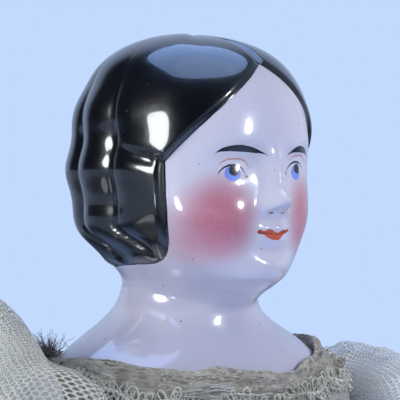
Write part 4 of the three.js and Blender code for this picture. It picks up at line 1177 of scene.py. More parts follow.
class Repeat:
    """Geometry nodes that set a small motif at each point of a guide, turned to follow it and varied a little."""

    def __init__(self) -> None:
        """Write the tree once, for every trim that uses it."""
        self.tree = bpy.data.node_groups.new("repeat_motif", "GeometryNodeTree")
        wanted = {"Guide": "Geometry", "Motif": "Object", "Sway": "Float", "Spread": "Float"}
        wanted |= {"Seed": "Int", "Finish": "Material"}
        for word, kind in wanted.items():
            self.tree.interface.new_socket(name=word, in_out="INPUT", socket_type=f"NodeSocket{kind}")
        self.tree.interface.new_socket(name="Trim", in_out="OUTPUT", socket_type="NodeSocketGeometry")
        graph = Graph(self.tree, "")
        given = graph.add("NodeGroupInput").outputs
        leaning = self.leaning(graph, given)
        smallest = graph.add("ShaderNodeMath", {0: 1.0, 1: given["Spread"]}, operation="SUBTRACT").outputs[0]
        size = graph.add("FunctionNodeRandomValue", {"Seed": given["Seed"]}, data_type="FLOAT")
        numbers = [socket for socket in size.inputs if socket.type == "VALUE"]
        self.tree.links.new(smallest, numbers[0])
        motif = graph.add("GeometryNodeObjectInfo", {"Object": given["Motif"]}).outputs["Geometry"]
        scale = next(socket for socket in size.outputs if socket.type == "VALUE" and socket.enabled)
        shapes = graph.add("GeometryNodeInstanceOnPoints", {
            "Points": given["Guide"], "Instance": motif, "Rotation": leaning, "Scale": scale,
        }).outputs[0]
        shapes = graph.add("GeometryNodeRealizeInstances", {0: shapes}).outputs[0]
        shapes = graph.add("GeometryNodeSetMaterial", {"Geometry": shapes, "Material": given["Finish"]}).outputs[0]
        graph.add("NodeGroupOutput", {0: shapes})

    def leaning(self, graph: Graph, given: bpy.types.NodeOutputs) -> Socket:
        """Turn each motif along its guide with its outside outward, and then let it lean a little.

        Args:
            graph: The tree's nodes.
            given: The tree's own inputs.

        Returns:
            The rotation of each motif.
        """
        rotation = None
        for word, axis, pivot in (("along", "X", "AUTO"), ("outward", "Z", "X")):
            way = graph.add("GeometryNodeInputNamedAttribute", {"Name": word}, data_type="FLOAT_VECTOR")
            turn = {"Vector": way.outputs["Attribute"]} | ({"Rotation": rotation} if rotation else {})
            turned = graph.add("FunctionNodeAlignRotationToVector", turn, axis=axis, pivot_axis=pivot)
            rotation = turned.outputs["Rotation"]
        chance = graph.add("FunctionNodeRandomValue", data_type="FLOAT_VECTOR")
        graph.feed(chance, {"Min": (-1.0, -1.0, -1.0), "Seed": given["Seed"]})
        sway = {0: chance.outputs["Value"], "Scale": given["Sway"]}
        sway = graph.add("ShaderNodeVectorMath", sway, operation="SCALE").outputs[0]
        lean = graph.add("FunctionNodeEulerToRotation", {0: sway}).outputs[0]
        both = {"Rotation": rotation, "Rotate By": lean}
        return graph.add("FunctionNodeRotateRotation", both, rotation_space="LOCAL").outputs[0]

    def lay(
        self, name: str, motif: Body, spots: Grid, along: Grid, outward: Grid,
        finish: Material, sway: float = 0.0, spread: float = 0.0, seed: int = 1,
    ) -> Piece:
        """Make a trim.

        Args:
            name: The trim's name.
            motif: The motif's points and faces, with its length on X and its outside on Z.
            spots: Where each motif goes, in millimetres.
            along: Which way its length points.
            outward: Which way its outside looks.
            finish: Its material.
            sway: How far a motif may lean, in radians.
            spread: By what share it may be smaller.
            seed: Chooses the leans and sizes.

        Returns:
            The trim, as one plain mesh.
        """
        pattern = new_piece(f"{name}_motif", *motif, finish)
        trim = new_piece(name, spots, [], finish)
        for word, ways in (("along", along), ("outward", outward)):
            layer = trim.data.attributes.new(word, "FLOAT_VECTOR", "POINT")
            layer.data.foreach_set("vector", np.asarray(ways, np.float32).ravel())
        maker = trim.modifiers.new("repeat", "NODES")
        maker.node_group = self.tree
        values = {"Motif": pattern, "Sway": sway, "Spread": spread, "Seed": seed, "Finish": finish}
        for item in self.tree.interface.items_tree:
            if item.in_out == "INPUT" and item.name in values:
                maker[item.identifier] = values[item.name]
        harden(trim)
        bpy.data.objects.remove(pattern)
        return shade_smooth(trim)


# Cloth finishes

# How many cells aside the net's pattern is moved, so that it counts only upward
FAR_CELL = 4096.0
MATT_SHINE = 0.15

def net_group() -> NodeTree:
    """The six-sided net: where its threads lie, and how high they stand.

    Returns:
        The node group.
    """
    inputs = {"Place": ("Vector", None), "Pitch": ("Float", 0.0016), "Thread": ("Float", 0.2)}
    group, graph = new_group("hexagon_net", inputs, {"Threads": "Float", "Height": "Float"})
    given = group.nodes.new("NodeGroupInput").outputs
    spot = graph.vector("DIVIDE", given["Place"], graph.level(given["Pitch"]))
    tall = math.sqrt(3)
    half = (0.5, tall / 2, 0.0)
    sizes, sixes = [], []
    for shift in ((0.0, 0.0, 0.0), half):
        cell = graph.vector("ADD", graph.vector("SUBTRACT", spot, shift), (FAR_CELL, FAR_CELL * tall, 0.0))
        cell = graph.vector("SUBTRACT", graph.vector("MODULO", cell, (1.0, tall, 1.0)), half)
        cell = graph.vector("MULTIPLY", cell, (1.0, 1.0, 0.0))
        sizes.append(graph.measure("LENGTH", cell))
        straight = graph.vector("ABSOLUTE", cell)
        sixes.append(graph.math("MAXIMUM", graph.measure("DOT_PRODUCT", straight, half), graph.parts(straight)[0]))
    closer = graph.math("LESS_THAN", *sizes)
    size, six = (graph.line(closer, graph.minus(*pair), pair[1]) for pair in (sizes, sixes))
    hole = graph.plus(graph.times(size, 0.5), graph.times(six, 0.5))
    edge = graph.minus(0.5, given["Thread"])
    share = graph.math("DIVIDE", graph.minus(hole, edge), given["Thread"])
    across = graph.math("MINIMUM", graph.math("MAXIMUM", share, 0.0), 1.0)
    height = graph.math("SINE", graph.times(across, math.pi / 2))
    graph.feed(group.nodes.new("NodeGroupOutput"), {"Threads": graph.step(share, -0.12, 0.12), "Height": height})
    return group


def weave_group() -> NodeTree:
    """A plain weave: its height, and where painted shade darkens the pits between its threads.

    Returns:
        The node group.
    """
    inputs = {"Place": ("Vector", None), "Pitch": ("Float", 0.0006)}
    group, graph = new_group("plain_weave", inputs, {"Height": "Float", "Pits": "Float"})
    given = group.nodes.new("NodeGroupInput").outputs
    turns = graph.scaled(graph.vector("DIVIDE", given["Place"], graph.level(given["Pitch"])), math.pi)
    warp, weft = (graph.math("ABSOLUTE", graph.math("SINE", part)) for part in graph.parts(turns)[:2])
    pits = graph.step(graph.times(warp, weft), 0.35, 0.02)
    out = {"Height": graph.times(graph.plus(warp, weft), 0.5), "Pits": pits}
    graph.feed(group.nodes.new("NodeGroupOutput"), out)
    return group


@dataclass(frozen=True)
class WovenFinish:
    """A matt cloth: its colour, how it has aged, its weave and its crinkle; painted shade darkens its pits and
    troughs, and painted highlight lightens its crests.
    """

    name: str
    colour: Colour
    # The lighter colour serves fading and painted highlight on the crinkle's crests; the darker serves stains and
    # painted shade in the pits and troughs
    faded: Colour
    stain: Colour
    pitch: float = 0.0006
    weave_relief: float = 0.00012
    crinkle: float = 0.0
    crinkle_scale: float = 700.0
    stained: float = 0.35
    sheen: float = 0.3
    roughness: float = 0.88

    def build(self, weave: NodeTree) -> Material:
        """Write the material.

        Args:
            weave: The plain weave group.

        Returns:
            The material.
        """
        material, graph, surface = new_finish(self.name)
        place, flat = graph.place(), graph.flat()
        threads = graph.add("Group", {"Place": flat, "Pitch": self.pitch}, node_tree=weave).outputs
        fading = graph.step(graph.noise(place, 34.0, 4.0, 0.6), 0.35, 0.7)
        spots = graph.step(graph.noise(place, 52.0, 3.0, 0.65), 0.56, 0.72)
        slub = graph.noise(graph.vector("MULTIPLY", flat, (1.0, 0.12, 1.0)), 1500.0, 2.0)
        colour = graph.blend(fading, self.colour, self.faded)
        # Real stains and slubs, and painted shade in the pits between the threads, all darken towards one colour
        for soil, strength in ((spots, self.stained), (slub, 0.28), (threads["Pits"], 0.5)):
            colour = graph.blend(graph.times(soil, strength), colour, self.stain)
        normal = graph.relief(graph.line(slub, 0.5, threads["Height"]), self.weave_relief, 0.8)
        if self.crinkle:
            drawn = {"Vector": graph.vector("MULTIPLY", flat, (0.24, 1.0, 1.0)), "Scale": self.crinkle_scale}
            ridges = graph.add("TexNoise", {**drawn, "Detail": 4.0, "Distortion": 2.2}).outputs[0]
            # Painted shade in the crinkle's troughs, and painted highlight on its crests
            colour = graph.blend(graph.step(ridges, 0.52, 0.34), colour, self.stain)
            colour = graph.blend(graph.times(graph.step(ridges, 0.56, 0.68), 0.75), colour, self.faded)
            normal = graph.relief(ridges, self.crinkle, 1.0, normal)
        graph.feed(surface, {
            "Base Color": colour, "Normal": normal, "Roughness": self.roughness,
            "Sheen Weight": self.sheen, "Sheen Roughness": 0.5, "Specular IOR Level": MATT_SHINE,
        })
        return material


@dataclass(frozen=True)
class NetFinish:
    """Machine net of cream cotton, which is clear between its threads."""

    thread: Colour = paint(216, 210, 193)
    shaded: Colour = paint(184, 176, 154)
    # Painted light: a lighter thread colour for the net on the doll's left, the far sleeve
    bleached: Colour = paint(255, 253, 246)
    pitch: float = 0.0019
    width: float = 0.18
    drift: float = 0.0022

    def build(self, net: NodeTree) -> Material:
        """Write the material.

        Args:
            net: The hexagon net group.

        Returns:
            The material.
        """
        material, graph, surface = new_finish("cotton_net")
        place, flat = graph.place(), graph.flat()
        drift = graph.add("TexNoise", {"Vector": flat, "Scale": 110.0, "Detail": 2.0}).outputs["Color"]
        drift = graph.scaled(graph.vector("SUBTRACT", drift, (0.5, 0.5, 0.5)), self.drift)
        mesh = graph.add("Group", {
            "Place": graph.vector("ADD", flat, drift), "Pitch": self.pitch,
            "Thread": graph.line(graph.noise(flat, 90.0, 2.0), 0.08, self.width - 0.04),
        }, node_tree=net).outputs
        twist = graph.noise(place, 2600.0, 2.0)
        colour = graph.blend(graph.step(mesh["Height"], 1.0, 0.2), self.thread, self.shaded)
        colour = graph.blend(graph.times(twist, 0.4), colour, self.shaded)
        # Painted light: the net on the doll's left side is drawn lighter
        left = graph.step(graph.parts(place)[0], -0.02, 0.06)
        colour = graph.blend(graph.times(left, 0.85), colour, self.bleached)
        graph.feed(surface, {
            "Base Color": colour, "Alpha": mesh["Threads"], "Roughness": 0.5,
            "Normal": graph.relief(graph.line(twist, 0.3, mesh["Height"]), 0.00016),
            "Sheen Weight": 0.3, "Specular IOR Level": 0.3,
        })
        return material


@dataclass(frozen=True)
class ThreadFinish:
    """Twisted thread or cord, with loose hairs."""

    name: str
    colour: Colour
    shaded: Colour
    gloss: float = 0.25

    def build(self) -> Material:
        """Write the material.

        Returns:
            The material.
        """
        material, graph, surface = new_finish(self.name)
        place = graph.place()
        twist = graph.noise(place, 1900.0, 2.0)
        aged = graph.step(graph.noise(place, 60.0, 3.0), 0.5, 0.75)
        colour = graph.blend(graph.times(graph.step(twist, 0.62, 0.35), 0.7), self.colour, self.shaded)
        graph.feed(surface, {
            "Base Color": graph.blend(aged, colour, self.shaded), "Normal": graph.relief(twist, 0.00015),
            "Roughness": 0.75, "Specular IOR Level": self.gloss, "Sheen Weight": 0.3,
        })
        return material


# Neckline and sleeves


@dataclass
class Neckline:
    """The crinkled crape band round the neckline, its looped braid and the threads that have frayed from it."""

    form: HeadForm = field(default_factory=HeadForm)
    neckline: float = 19.095
    band_rows: float = 1.25
    braid_rows: float = 1.34
    ease: float = 4.4
    gauge: float = 0.45
    columns: int = 620
    rows: int = 44
    loops: int = 178
    scallops: int = 16
    scallop: float = 0.16
    flare_at: float = 1.62
    lobes: tuple[tuple[float, float, float, float], ...] = (
        (5.17, 0.5, 0.07, 2.4), (5.36, 0.55, 0.075, 3.0), (5.52, 0.6, 0.065, 2.4), (5.7, 0.66, 0.075, 4.0),
        (0.3, 0.5, 0.09, 1.8), (0.62, 0.55, 0.1, 2.2), (0.9, 0.5, 0.09, 1.8),
    )
    flare: float = 3.4

    def ring(self, row: float, angles: Grid, out: float | Grid, up: float | Grid = 0.0) -> Grid:
        """A ring on the plate, pushed out and up; the edge sits a little higher at the breast than at its left.

        Args:
            row: How far down the plate the ring lies, in rows of the outlines.
            angles: Places round from the front.
            out: How far it is pushed out.
            up: How far it is pushed up.

        Returns:
            The ring's points.
        """
        above, ring, below = self.form.bare([row - 0.4, row, row + 0.4], angles)
        turn = (angles + math.pi) % (FULL_TURN) - math.pi
        sway = 0.4 * hump(turn, 0.27, 0.17) - 0.38 * hump(turn, -0.3, 0.17)
        down = np.clip((row - self.neckline) / self.band_rows, 0, 1)
        raised = 0.5 * hump(turn, -1.25, 0.2) + 0.3 * hump(turn, 0.5, 0.3)
        sway = sway * (1 - down) - raised * down
        ring = ring + (below - above) / 0.8 * sway[:, None]
        return ring + away_at(angles) * np.asarray(out)[..., None] + np.asarray(up)[..., None] * UP

    def stand(self, angles: Grid) -> Grid:
        """How far the edge stands off the china: nothing round most of it, and most on the doll's left shoulder."""
        return hump(angles, self.flare_at, 0.38) + 0.25 * hump(angles, 3.6, 0.5)

    def band(self, finish: Material) -> tuple[Piece, Cloth]:
        """Make the band: it turns over at the top, and falls outside in three uneven folds.

        Args:
            finish: Its material.

        Returns:
            The band and its cloth.
        """
        angles = circle(self.columns)
        stand = self.stand(angles)
        edge_swing = wander(3, angles * 5) * 0.9
        rings = []
        profile = (
            (0.42, 1.0, -1.2, 0.2), (0.14, 1.0, -0.3, 0.6), (-0.02, 1.6, 0.3, 1.0), (0.05, 3.1, 0.5, 1.0),
            (0.35, 4.4, 0.0, 0.7), (0.7, 4.2, 0.0, 0.4), (1.05, 3.9, 0.0, 0.15), (1.25, 3.2, 0.0, 0.0),
        )
        for row, out, up, freedom in profile:
            out_by, up_by = stand * self.flare * freedom, (edge_swing + stand * 1.4) * freedom
            rings.append(self.ring(self.neckline + row, angles, out + out_by, up + up_by))
        grid = dense(np.array(rings), self.rows)
        share, turn = chart(self.rows, angles)
        outside, low = smooth(share, 0.3, 0.5), smooth(share, 1.0, 0.8)
        fold = np.sin(share * 34 + wander(5, turn * 3, turn * 7) * 2.4) * 0.55
        puffs = np.maximum(wander(7, turn * 9, share * 5 + turn * 2), -0.3) * 1.3
        for place, level, wide, height in self.lobes:
            reach = ((turn - place) / wide) ** 2 + ((share - level) / 0.13) ** 2
            puffs = puffs + height * np.exp(-(reach**1.5))
        crimp = wander(9, turn * 61, share * 31) * 0.16 + wander(10, turn * 131, share * 60) * 0.08
        cloth = Cloth(grid, Lay.ROUND, turned=True).rise((fold + puffs) * outside * low + crimp)
        return cloth.sew("crape_neck_band", finish, self.gauge), cloth

    def braid(self, repeat: Repeat, finish: Material) -> list[Piece]:
        """Make the braid: a soft core with three rows of cotton loops curling from it.

        Args:
            repeat: What sets the loops along the neckline.
            finish: Its material.

        Returns:
            The three rows of loops, and the core.
        """
        angles = circle(self.loops)
        swing = np.cos(angles * self.scallops)
        turn = circle(24)
        lift = 0.8 * np.sin(turn / 2) ** 2 + 0.3 * np.sin(2 * turn)
        loop = np.stack([1.15 * np.sin(turn), -1.9 * (1 - np.cos(turn)), lift], -1)
        motif = tube(loop * 1.12, 0.34, 4, True)
        trims = []
        for index, (row, flip, out) in enumerate(((-0.02, 1, 1.3), (0.16, 1, 1.0), (-0.1, -1, 1.5))):
            spots = np.array([
                self.on_braid(angle + 0.012 * index, row + self.scallop * wave, out)
                for angle, wave in zip(angles, swing)
            ])
            along = (np.roll(spots, -1, 0) - np.roll(spots, 1, 0)) * flip
            name = f"braid_loops_{index + 1}"
            trims.append(repeat.lay(name, motif, spots, along, away_at(angles, 0.35), finish, 0.55, 0.4, 5 + index))
        wide = circle(420)
        path = np.array([self.on_braid(angle, self.scallop * math.cos(self.scallops * angle), 0.5) for angle in wide])
        trims.append(new_piece("braid_core", *tube(path, 0.9 + 0.16 * np.cos(wide * 150), 8, True), finish))
        return trims

    def on_braid(self, angle: float, row: float, out: float) -> Grid:
        """A place on the braid's line, moved down by rows and out by millimetres."""
        return self.ring(self.neckline + self.braid_rows + row, np.array([angle]), self.ease + out)[0]

    def selvedge(self, finish: Material) -> Piece:
        """Make the shiny threads that have pulled out of the band's lower edge over the breast.

        Args:
            finish: Their material.

        Returns:
            The threads, as one piece.
        """
        chance = np.random.default_rng(12)
        points, faces = [], []
        for strand in range(9):
            start = chance.uniform(-0.62, -0.3)
            angles = np.linspace(start, start + chance.uniform(0.12, 0.34), 30)
            ends = np.sin(np.linspace(0, math.pi, 30)) ** 0.5
            row = self.neckline + 0.52 + strand * 0.05
            out = 7.2 + 1.1 * ends + 0.3 * wander(strand + 40, angles * 20)
            path = self.ring(row, angles, out, 0.5 * wander(strand + 60, angles * 12))
            more, loops = tube(path, 0.08 + 0.22 * ends * chance.uniform(0.4, 1.0), 5, False)
            faces += shifted(loops, len(points))
            points += list(more)
        return new_piece("selvedge_threads", np.array(points), faces, finish)

    def fray(self, repeat: Repeat, finish: Material) -> Piece:
        """Make the dark tuft of torn threads behind the doll's right shoulder.

        Args:
            repeat: What sets the threads in place.
            finish: Their material.

        Returns:
            The tuft, as one piece.
        """
        chance = np.random.default_rng(4)
        walk = np.cumsum(chance.normal(0, 0.36, (12, 3)), 0) + np.linspace(0, 1, 12)[:, None] * [9.0, 0.0, 1.0]
        motif = tube(walk, np.linspace(0.17, 0.05, 12), 4, False)
        angles = np.concatenate([chance.normal(-1.92, 0.08, 170), chance.normal(-2.2, 0.16, 190)])
        row, count = self.neckline + 0.15, len(angles)
        spots = np.array([self.ring(row, np.array([angle]), 3.0 + chance.normal(0, 0.7), 1.0)[0] for angle in angles])
        forward = -np.cos(angles) * 0.2 - chance.normal(0, 0.7, count)
        along = np.stack([np.sin(angles) * 0.4, forward, np.abs(chance.normal(0.3, 0.34, count))], -1)
        return repeat.lay("frayed_threads", motif, spots, along, away_at(angles), finish, 0.8, 0.6, 9)


# Where the sleeves' bands sit on the arms, and the bands' own directions out from and down the arm
SLEEVE_END = (87.6, 0.0, 385.2)
SLEEVE_OUT = np.array([0.9668, 0.0, 0.2557])
SLEEVE_DOWN = np.array([0.2557, 0.0, -0.9668])


@dataclass
class Sleeve:
    """A puffed sleeve of gathered net over a plain lining."""

    side: Side
    top: float = 474.0
    columns: int = 260
    rows: int = 120
    gathers: int = 34
    shoulder: float = 414.0
    seam: float = 70.6
    seam_radius: float = 14.8
    end_radius: float = 12.6
    fold_place: tuple[float, float, float] = (77.0, -29.0, 434.0)
    fold_out: tuple[float, float, float] = (-7.0, -11.0, 3.0)
    fold_reach: float = 15.0
    fold_levels: tuple[float, float] = (451.0, 445.0)
    lining_inset: float = 4.6
    lining_grid: tuple[int, int] = (60, 120)

    def meridians(self, inset: float) -> list[Grid]:
        """The four lines over the sleeve from the armhole to the band: over the top, in front, below and behind.

        Args:
            inset: How far inside the net the lines lie, for the lining.

        Returns:
            The four lines, with as many points each.
        """
        base = self.shoulder
        rise = self.top - base
        seam, end = np.array([self.seam, 0.0, base]), np.array(SLEEVE_END)
        hole, foot = self.seam_radius - inset / 3, self.end_radius - inset / 4
        over = [
            seam + hole * UP, (71.8, 0, base + rise * 0.48), (75.5, 0, base + rise * 0.74), (83.5, 0, self.top - 3.6),
            (93.0, 0, self.top), (102.0, 0, self.top - 5.0), (111.0, 0, self.top - rise * 0.3),
            (117.0, 0, self.top - rise * 0.58), (117.5, 0, base + 2), (112.0, 0, 400.0), (105.0, 0, 391.6),
            end + SLEEVE_OUT * foot,
        ]
        front = [
            seam - hole * BEHIND, (71.4, -23.0, base + 2), (73.5, -29.5, base + rise * 0.1),
            (79.0, -34.0, base + rise * 0.17), (87.0, -36.0, base + rise * 0.22), (94.0, -36.5, base + rise * 0.22),
            (99.0, -35.0, base + rise * 0.14), (101.0, -31.5, base - 1), (99.5, -27.0, 404.5), (95.5, -21.5, 394.5),
            (91.0, -16.5, 388.0), end - foot * BEHIND,
        ]
        under = [
            seam - hole * UP, (71.2, 0, 396.6), (72.0, 0, 394.2), (73.0, 0, 392.4), (73.8, 0, 390.8), (74.2, 0, 389.4),
            (74.4, 0, 388.2), (74.5, 0, 387.0), (74.6, 0, 385.8), (74.7, 0, 384.6), (75.0, 0, 383.4),
            end - SLEEVE_OUT * foot,
        ]
        lines = [np.array(line, float) for line in (over, front, under)]
        middle = (lines[0] + lines[2]) / 2
        if inset:
            share = np.sin(np.linspace(0, math.pi, len(middle)))[:, None]
            lines = [line + unit(middle - line) * inset * share for line in lines]
        return [*lines, lines[1] * [1, -1, 1]]

    def surface(self, inset: float, rows: int, columns: int) -> Grid:
        """The sleeve's plain form as a grid, before its gathers.

        Args:
            inset: How far inside the net it lies.
            rows: How many rows it has, from the armhole to the band.
            columns: How many points it has round the arm.

        Returns:
            The grid of points, for the doll's left.
        """
        over, front, under, behind = (
            through(line, np.linspace(0, len(line) - 1, rows))[:, None, :] for line in self.meridians(inset)
        )
        turn = circle(columns)[None, :, None]
        wave, bend = np.cos(turn), np.sin(turn)
        middle = (over + under) / 2
        aside = (front + behind) / 2 - middle
        return middle + (over - under) / 2 * wave + (front - behind) / 2 * bend + aside * bend**2

    def mirrored(self, cloth: Cloth) -> Cloth:
        """The sheet on this sleeve's own side.

        Args:
            cloth: The sheet for the doll's left.

        Returns:
            The sheet on the sleeve's side.
        """
        if self.side is Side.LEFT:
            return Cloth(cloth.grid, cloth.lay, not cloth.turned)
        return Cloth(cloth.grid * [-1, 1, 1], cloth.lay, cloth.turned)

    def net(self, finish: Material) -> tuple[Piece, Cloth]:
        """Make the gathered net.

        Args:
            finish: Its material.

        Returns:
            The net and its cloth.
        """
        grid = self.surface(0.0, self.rows, self.columns)
        share, turn = chart(self.rows, circle(self.columns))
        seed = 20 + self.side.value
        ends = np.exp(-share * 16) + np.exp(-(1 - share) * 13)
        pleats = np.cos(turn * self.gathers + wander(seed, turn * 3) * 1.5 + share * 2) * ends * 0.8
        swell = wander(seed + 1, turn * 4 + share * 3, share * 6) * 2.1 * np.sin(math.pi * np.clip(share, 0, 1)) ** 0.7
        creases = -np.abs(wander(seed + 2, turn * 7 - share * 2, share * 3)) * 1.5 * np.sin(math.pi * share)
        near = ((grid - self.fold_place) ** 2).sum(-1) / self.fold_reach**2
        fold = np.exp(-near) * smooth(grid[..., 2], *self.fold_levels)
        grid = grid + fold[..., None] * self.fold_out
        cloth = self.mirrored(Cloth(grid, Lay.ROUND).rise(-(pleats + swell + creases)))
        return cloth.sew(f"net_sleeve_{self.side.word}", finish), cloth

    def lining(self, finish: Material) -> tuple[Piece, Cloth]:
        """Make the lining inside the net.

        Args:
            finish: Its material.

        Returns:
            The lining and its cloth.
        """
        rows, columns = self.lining_grid
        share, turn = chart(rows, circle(columns))
        folds = wander(31, turn * 5, share * 4) * 1.2 * np.sin(math.pi * share)
        cloth = self.mirrored(Cloth(self.surface(self.lining_inset, rows, columns), Lay.ROUND).rise(folds))
        return cloth.sew(f"sleeve_lining_cloth_{self.side.word}", finish, 0.3), cloth


# Bodice, skirt and underclothes


def stitch_motif(length: float = 1.5, radius: float = 0.2) -> Body:
    """One stitch: a short thread that sinks into the cloth at both ends.

    Args:
        length: How long it shows.
        radius: The thread's radius.

    Returns:
        Its points and faces.
    """
    share = np.linspace(-1, 1, 7)
    path = np.stack([share * length / 2, np.zeros(7), radius * 1.3 - share**4 * radius * 2.2], -1)
    return tube(path, radius * (1 - 0.3 * share**4), 5, False)


@dataclass
class Seamstress:
    """Lays rows of running stitches along lines on the cloth."""

    repeat: Repeat
    thread: Material
    pitch: float = 2.3

    def run(self, name: str, line: Grid, outward: Grid, body: str, seed: int = 3, closed: bool = False) -> Piece:
        """Sew one row of stitches.

        Args:
            name: The row's name.
            line: Points along the cloth's surface, in millimetres.
            outward: Which way the cloth looks at each of them.
            body: The body that it rides on.
            seed: Chooses how the stitches lean.
            closed: Whether the line's end meets its start.

        Returns:
            The stitches, as one piece.
        """
        if closed:
            line, outward = (np.concatenate([rows, rows[:1]]) for rows in (line, outward))
        reach = np.concatenate([[0], np.cumsum(np.linalg.norm(np.diff(line, axis=0), axis=1))])
        places = np.arange(self.pitch / 2, reach[-1], self.pitch)
        spots, facing = (
            np.stack([np.interp(places, reach, rows[:, axis]) for axis in range(3)], -1) for rows in (line, outward)
        )
        along = np.gradient(spots, axis=0)
        row = self.repeat.lay(name, stitch_motif(), spots, along, facing, self.thread, 0.09, 0.15, seed)
        return settle(row, body, "thread")


@dataclass
class Bodice:
    """The crape bodice: one front and two backs that meet behind, gathered at the neck and the waist."""

    form: HeadForm = field(default_factory=HeadForm)
    neckline: float = 19.095
    ease: float = 3.1
    body_ease: float = 2.1
    shoulder: float = 414.0
    armhole: float = 14.6
    gauge: float = 0.5
    rows: int = 90
    gathers: int = 74

    def rings(self, angles: Grid) -> Grid:
        """The plain cover from the neckline down to the waist.

        Args:
            angles: Places round from the front.

        Returns:
            One ring for each level.
        """
        rings = []
        for row in np.concatenate([np.arange(self.neckline + 0.25, 21.6, 0.62), [21.9]]):
            rings.append(self.form.bare([row], angles, out=self.ease)[0] + UP)
        rings.append(self.form.bare([22.0], angles, out=self.ease - 0.2)[0] - 1.6 * UP)
        rings += [oval(section, angles, self.body_ease) for section in BODY_SECTIONS[:4]]
        return np.array(rings)

    def panel(self, start: float, end: float, columns: int) -> Cloth:
        """One panel between two angles round the body.

        Args:
            start: Where it begins.
            end: Where it ends.
            columns: How many points it has across.

        Returns:
            The panel's cloth.
        """
        angles = np.linspace(start, end, columns)
        grid = dense(self.rings(angles), self.rows)
        share, turn = chart(self.rows, angles)
        ends = np.exp(-share * 7) + 1.1 * np.exp(-(1 - share) * 6)
        pleats = np.cos(turn * self.gathers / 2 + wander(41, turn * 4) * 2) * 0.42 * ends
        bust = 2.2 * hump(share, 0.66, 0.16) * np.maximum(np.cos(turn), 0) ** 0.7
        pulls = wander(43, turn * 7 + share * 4, share * 9) * 0.5 + wander(44, turn * 19, share * 16) * 0.22
        crimp = wander(46, turn * 83, share * 50) * 0.07
        edges = np.minimum(smooth(turn - start, 0, 0.05), smooth(end - turn, 0, 0.05))
        piping = hump(turn, start, 0.014) + hump(end, turn, 0.014)
        cloth = Cloth(grid, turned=True).rise((pleats + pulls + crimp + bust) * edges + 0.35 * piping)
        return Cloth(self.cut_armhole(cloth.grid), turned=True)

    def cut_armhole(self, grid: Grid) -> Grid:
        """Push the cloth's points out of the round armholes, onto their edges.

        Args:
            grid: The panel's points.

        Returns:
            The points, with none inside an armhole.
        """
        grid = grid.copy()
        rise = grid[..., 2] - self.shoulder
        reach = np.hypot(grid[..., 1], rise)
        inside = (np.abs(grid[..., 0]) > 45) & (reach < self.armhole)
        scale = np.where(inside, self.armhole / np.maximum(reach, 1e-6), 1.0)
        grid[..., 1] *= scale
        grid[..., 2] = self.shoulder + rise * scale
        return grid

    def build(self, finish: Material, needle: Seamstress) -> dict[str, tuple[Piece, Cloth]]:
        """Make the three panels and their seams.

        Args:
            finish: The panels' material.
            needle: What sews the seams.

        Returns:
            Each panel and its cloth, by the name of its node.
        """
        side, gap = math.pi / 2, 0.008
        panels = {}
        for name, start, end, columns in (
            ("bodice_front", -side + gap, side - gap, 300),
            ("bodice_back_left", side + gap, math.pi - gap, 150),
            ("bodice_back_right", math.pi + gap, 3 * side - gap, 150),
        ):
            cloth = self.panel(start, end, columns)
            panel = cloth.sew(f"crape_{name}", finish)
            self.open_armholes(panel)
            thicken(panel, self.gauge)
            panels[name] = (panel, cloth)
            if name == "bodice_front":
                continue
            normal = -slopes(cloth.grid, Lay.OPEN)[2]
            for word, column in (("start", 4), ("end", columns - 5)):
                line, outward = cloth.grid[6:-2, column], normal[6:-2, column]
                needle.run(f"{name}_stitches_{word}", line, outward, "doll", 11 + columns)
        return panels

    def reach_behind(self, level: float) -> float:
        """How far the bodice reaches behind the doll at a level."""
        grid = dense(self.rings(np.array([math.pi - 0.08])), 200)[:, 0]
        return float(np.interp(level, grid[::-1, 2], grid[::-1, 1])) + 0.45

    def open_armholes(self, panel: Piece) -> None:
        """Take away the faces that were pushed flat onto an armhole's edge.

        Args:
            panel: The panel, which is changed.
        """
        body = bmesh.new()
        body.from_mesh(panel.data)

        def within(spot: Vector) -> bool:
            """Whether a point lies on an armhole's edge."""
            reach = math.hypot(spot.y, spot.z - self.shoulder * MM)
            return abs(spot.x) > 45 * MM and reach < (self.armhole + 0.02) * MM

        flat = [face for face in body.faces if all(within(corner.co) for corner in face.verts)]
        bmesh.ops.delete(body, geom=flat, context="FACES")
        body.to_mesh(panel.data)
        body.free()


@dataclass(frozen=True)
class ButtonFinish:
    """Plain white china with a soft shine, showing wear in places."""

    colour: Colour = paint(232, 228, 216)
    worn: Colour = paint(202, 194, 176)

    def build(self) -> Material:
        """Write the material.

        Returns:
            The material.
        """
        material, graph, surface = new_finish("button_china")
        wear = graph.noise(graph.place(), 420.0, 3.0)
        graph.feed(surface, {
            "Base Color": graph.blend(graph.step(wear, 0.5, 0.75), self.colour, self.worn),
            "Roughness": graph.line(wear, 0.2, 0.12), "Normal": graph.relief(wear, 0.00008, 0.6), "Coat Weight": 0.6,
        })
        return material


@dataclass(frozen=True)
class ChinaButton:
    """A small white china button, sewn on through two holes."""

    radius: float = 3.0
    height: float = 1.8
    sides: int = 40

    def build(self, name: str, place: Grid, finish: Material) -> Piece:
        """Turn the button, with its rim and the dish in its middle.

        Args:
            name: Its name.
            place: The middle of its back, in millimetres, with its face towards +Y.
            finish: Its material.

        Returns:
            The button.
        """
        turns = circle(self.sides)
        profile = (
            (0.6, 0), (0.86, 0.02), (0.97, 0.16), (1.0, 0.38), (0.97, 0.62), (0.88, 0.86), (0.76, 1.0), (0.64, 0.95),
            (0.56, 0.78), (0.42, 0.68), (0.2, 0.66),
        )
        grid = np.array([
            np.stack([np.cos(turns) * out, np.full_like(turns, up), -np.sin(turns) * out], -1) for out, up in profile
        ]) * [self.radius, self.height, self.radius]
        for aside in (-0.22, 0.22):
            hole = hump(grid[..., 0] / self.radius, aside, 0.09) * hump(grid[..., 2] / self.radius, 0, 0.09)
            grid[..., 1] -= hole * self.height * 0.45
        tips = [place, place + self.height * 0.66 * BEHIND]
        return closed_body(name, grid + place, tips, finish, turned=True)


